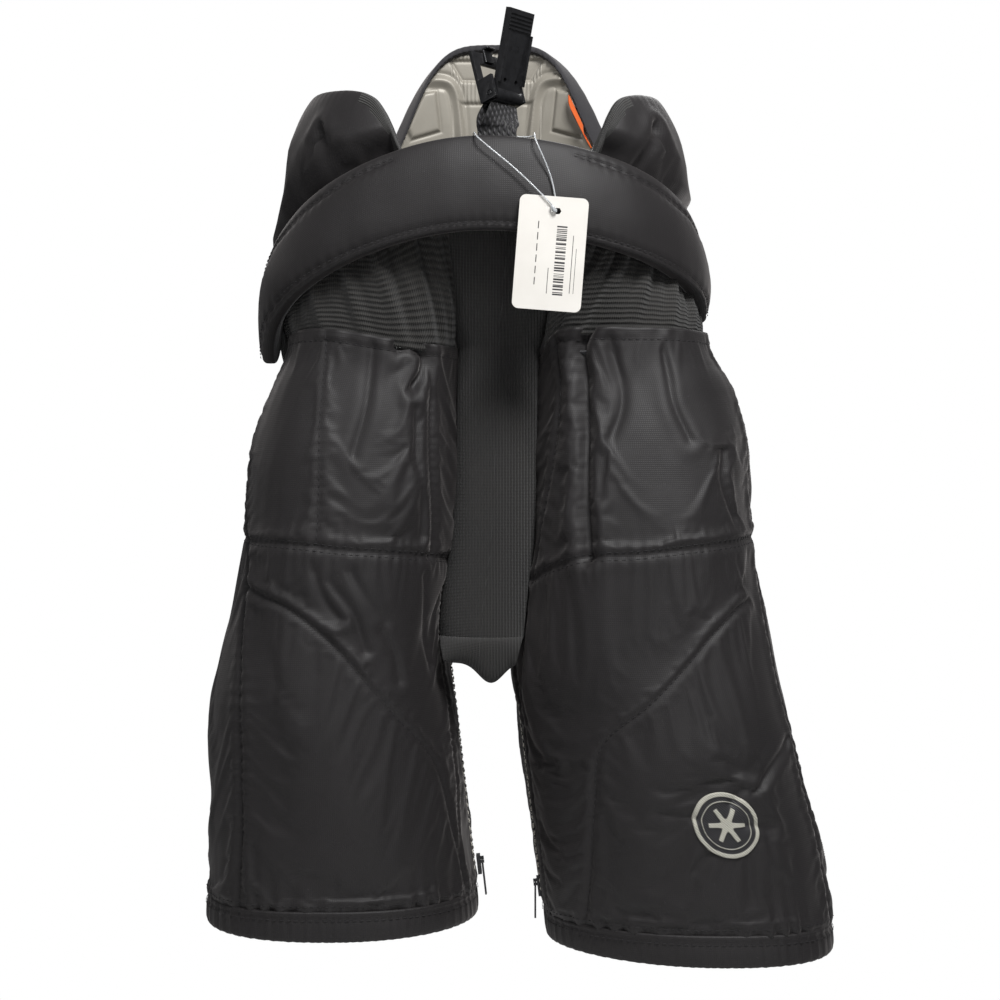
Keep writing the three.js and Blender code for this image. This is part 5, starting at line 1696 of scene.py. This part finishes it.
for name, node, knots in (
    (
        "belt_strap_right",
        "belt_webbing_right",
        [
            (-2, -90.4, 489, 0),
            (-2, -90.4, 527, 0),
            (-3, -88.9, 532, 14),
            (-4, -86.4, 538, 34),
            (-2.8, -84.0, 544.6, 50),
        ],
    ),
    (
        "belt_strap_left",
        "belt_webbing_left",
        [
            (-2, -92.4, 489, 0),
            (-2, -92.4, 527, 0),
            (0, -93.0, 532, 14),
            (1, -91.4, 537, 34),
            (2.3, -88.3, 545.6, 50),
        ],
    ),
):
    way = through(knots, 16)
    turn = np.radians(way[:, 3])[:, None]
    around = np.linspace(0, 2 * np.pi, 40, endpoint=False)[None, :]
    wide = 12.4 * np.sign(np.cos(around)) * np.abs(np.cos(around)) ** 0.35
    thick = 0.75 * np.sign(np.sin(around)) * np.abs(np.sin(around)) ** 0.5
    strap_points = hung(
        np.stack(
            [
                way[:, [0]] + wide * np.cos(turn) - thick * np.sin(turn),
                way[:, [1]] + wide * np.sin(turn) + thick * np.cos(turn),
                way[:, [2]] + 0 * wide,
            ],
            -1,
        )
    )
    measure = np.stack([wide / 1000 + 0 * way[:, [2]], way[:, [2]] / 1000 + 0 * wide], -1)
    webbing = surface(name, strap_points, strap, measure, closed_across=True)
    capped(webbing)
    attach(webbing, "waist")
    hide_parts(node)

# Acetal again for the frame and the lever, with rubbed edges; the pin and the catch take the black nickel
# plate.
buckle_plastic, tree, shader = new_material("moulded_buckle_acetal", "#0f0f10", Roughness=0.28, IOR=1.48)
place = add_node(tree, "ShaderNodeTexCoord").outputs["Object"]
rub = add_node(tree, "ShaderNodeTexNoise", {"Vector": place, "Scale": 260.0, "Detail": 5.0}).outputs["Fac"]
tint = add_node(
    tree, "ShaderNodeMix", {"Factor": rub, "A": linear("#0b0b0c"), "B": linear("#262628")}, data_type="RGBA"
)
tree.links.new(tint.outputs["Result"], shader.inputs["Base Color"])
gloss = add_node(tree, "ShaderNodeMapRange", {"Value": rub, "To Min": 0.2, "To Max": 0.42}).outputs["Result"]
tree.links.new(gloss, shader.inputs["Roughness"])
bump = add_node(tree, "ShaderNodeBump", {"Height": rub, "Strength": 0.08, "Distance": 0.0003})
tree.links.new(bump.outputs["Normal"], shader.inputs["Normal"])


def softened(node, name, material, width):
    """A copy of a moulded part with its triangles merged, its flats made whole and its edges rounded."""
    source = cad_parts[node]
    shape = bmesh.new()
    shape.from_mesh(source.data)
    bmesh.ops.remove_doubles(shape, verts=shape.verts, dist=1e-6)
    bmesh.ops.dissolve_limit(shape, angle_limit=math.radians(1), verts=shape.verts, edges=shape.edges)
    mesh = bpy.data.meshes.new(name)
    shape.to_mesh(mesh)
    shape.free()
    mesh.materials.append(material)
    made = bpy.data.objects.new(name, mesh)
    scene.collection.objects.link(made)
    rounding = made.modifiers.new("rounding", "BEVEL")
    rounding.width = width
    rounding.segments = 3
    rounding.limit_method = "ANGLE"
    rounding.angle_limit = math.radians(30)
    rounding.harden_normals = True
    mesh.polygons.foreach_set("use_smooth", np.ones(len(mesh.polygons), bool))
    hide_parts(node)
    return made


for node, name, body, slot, material, width in (
    ("buckle_frame", "buckle_frame_moulded", "waist", "buckle_plastic", buckle_plastic, 0.0004),
    ("buckle_lever", "buckle_lever_moulded", "lever", "buckle_plastic", buckle_plastic, 0.0004),
    ("buckle_pin", "buckle_pin_turned", "waist", "buckle_metal", nickel, 0.0003),
    ("buckle_catch", "buckle_catch_pressed", "waist", "buckle_metal", nickel, 0.0002),
):
    made = softened(node, name, material, width)
    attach(made, body)

# ---- Floor and light ----
# A round pale floor far enough below for the pants to hang clear, and soft lamps round them.
turn = np.linspace(0, 2 * np.pi, 96, endpoint=False)
rim = np.stack([0.8 * np.cos(turn), 0.8 * np.sin(turn), 0 * turn - 0.9], -1)
floor_shape = bpy.data.meshes.new("floor")
floor_shape.from_pydata(rim.tolist(), [], [list(range(96))])
painted, tree, shader = new_material("painted_floor", "#efefee", Roughness=0.85)
place = add_node(tree, "ShaderNodeTexCoord").outputs["Object"]
roller = add_node(tree, "ShaderNodeTexNoise", {"Vector": place, "Scale": 3.0, "Detail": 4.0}).outputs["Fac"]
tint = add_node(
    tree,
    "ShaderNodeMix",
    {"Factor": roller, "A": linear("#ececeb"), "B": linear("#f4f4f3")},
    data_type="RGBA",
)
tree.links.new(tint.outputs["Result"], shader.inputs["Base Color"])
floor_shape.materials.append(painted)
floor = bpy.data.objects.new("floor", floor_shape)
scene.collection.objects.link(floor)

# The room is plain white to look at, and gives only a low, even light.
room = bpy.data.worlds.new("room")
room.use_nodes = True
scene.world = room
tree = room.node_tree
seen = add_node(tree, "ShaderNodeLightPath").outputs["Is Camera Ray"]
even = tree.nodes["Background"]
even.inputs["Color"].default_value = linear("#f4f5f8")
even.inputs["Strength"].default_value = 0.16
plain = add_node(tree, "ShaderNodeBackground", {"Color": linear("#ffffff"), "Strength": 1.0})
both = add_node(tree, "ShaderNodeMixShader", {0: seen, 1: even.outputs[0], 2: plain.outputs[0]})
tree.links.new(both.outputs[0], tree.nodes["World Output"].inputs["Surface"])


def softbox(name, at, towards, size, power):
    """A square area light of that size in metres, turned to face a point."""
    lamp = bpy.data.lights.new(name, "AREA")
    lamp.size = size
    lamp.energy = power
    made = bpy.data.objects.new(name, lamp)
    scene.collection.objects.link(made)
    made.location = at
    aim = np.array(towards, float) - np.array(at, float)
    made.rotation_euler = (
        math.acos(-aim[2] / np.linalg.norm(aim)), 0, math.atan2(aim[1], aim[0]) - math.pi / 2
    )
    return made


softbox("key", (0.36, -0.8, 0.74), (0.04, 0.0, 0.0), 0.4, 20)
softbox("window", (-1.0, -1.2, 0.55), (0.0, 0.0, -0.15), 0.8, 5)
softbox("low", (0.5, -1.6, -0.6), (0.1, 0.0, -0.4), 0.8, 2)
softbox("rim", (0.5, 1.5, 1.1), (0.0, 0.0, -0.2), 0.9, 14)
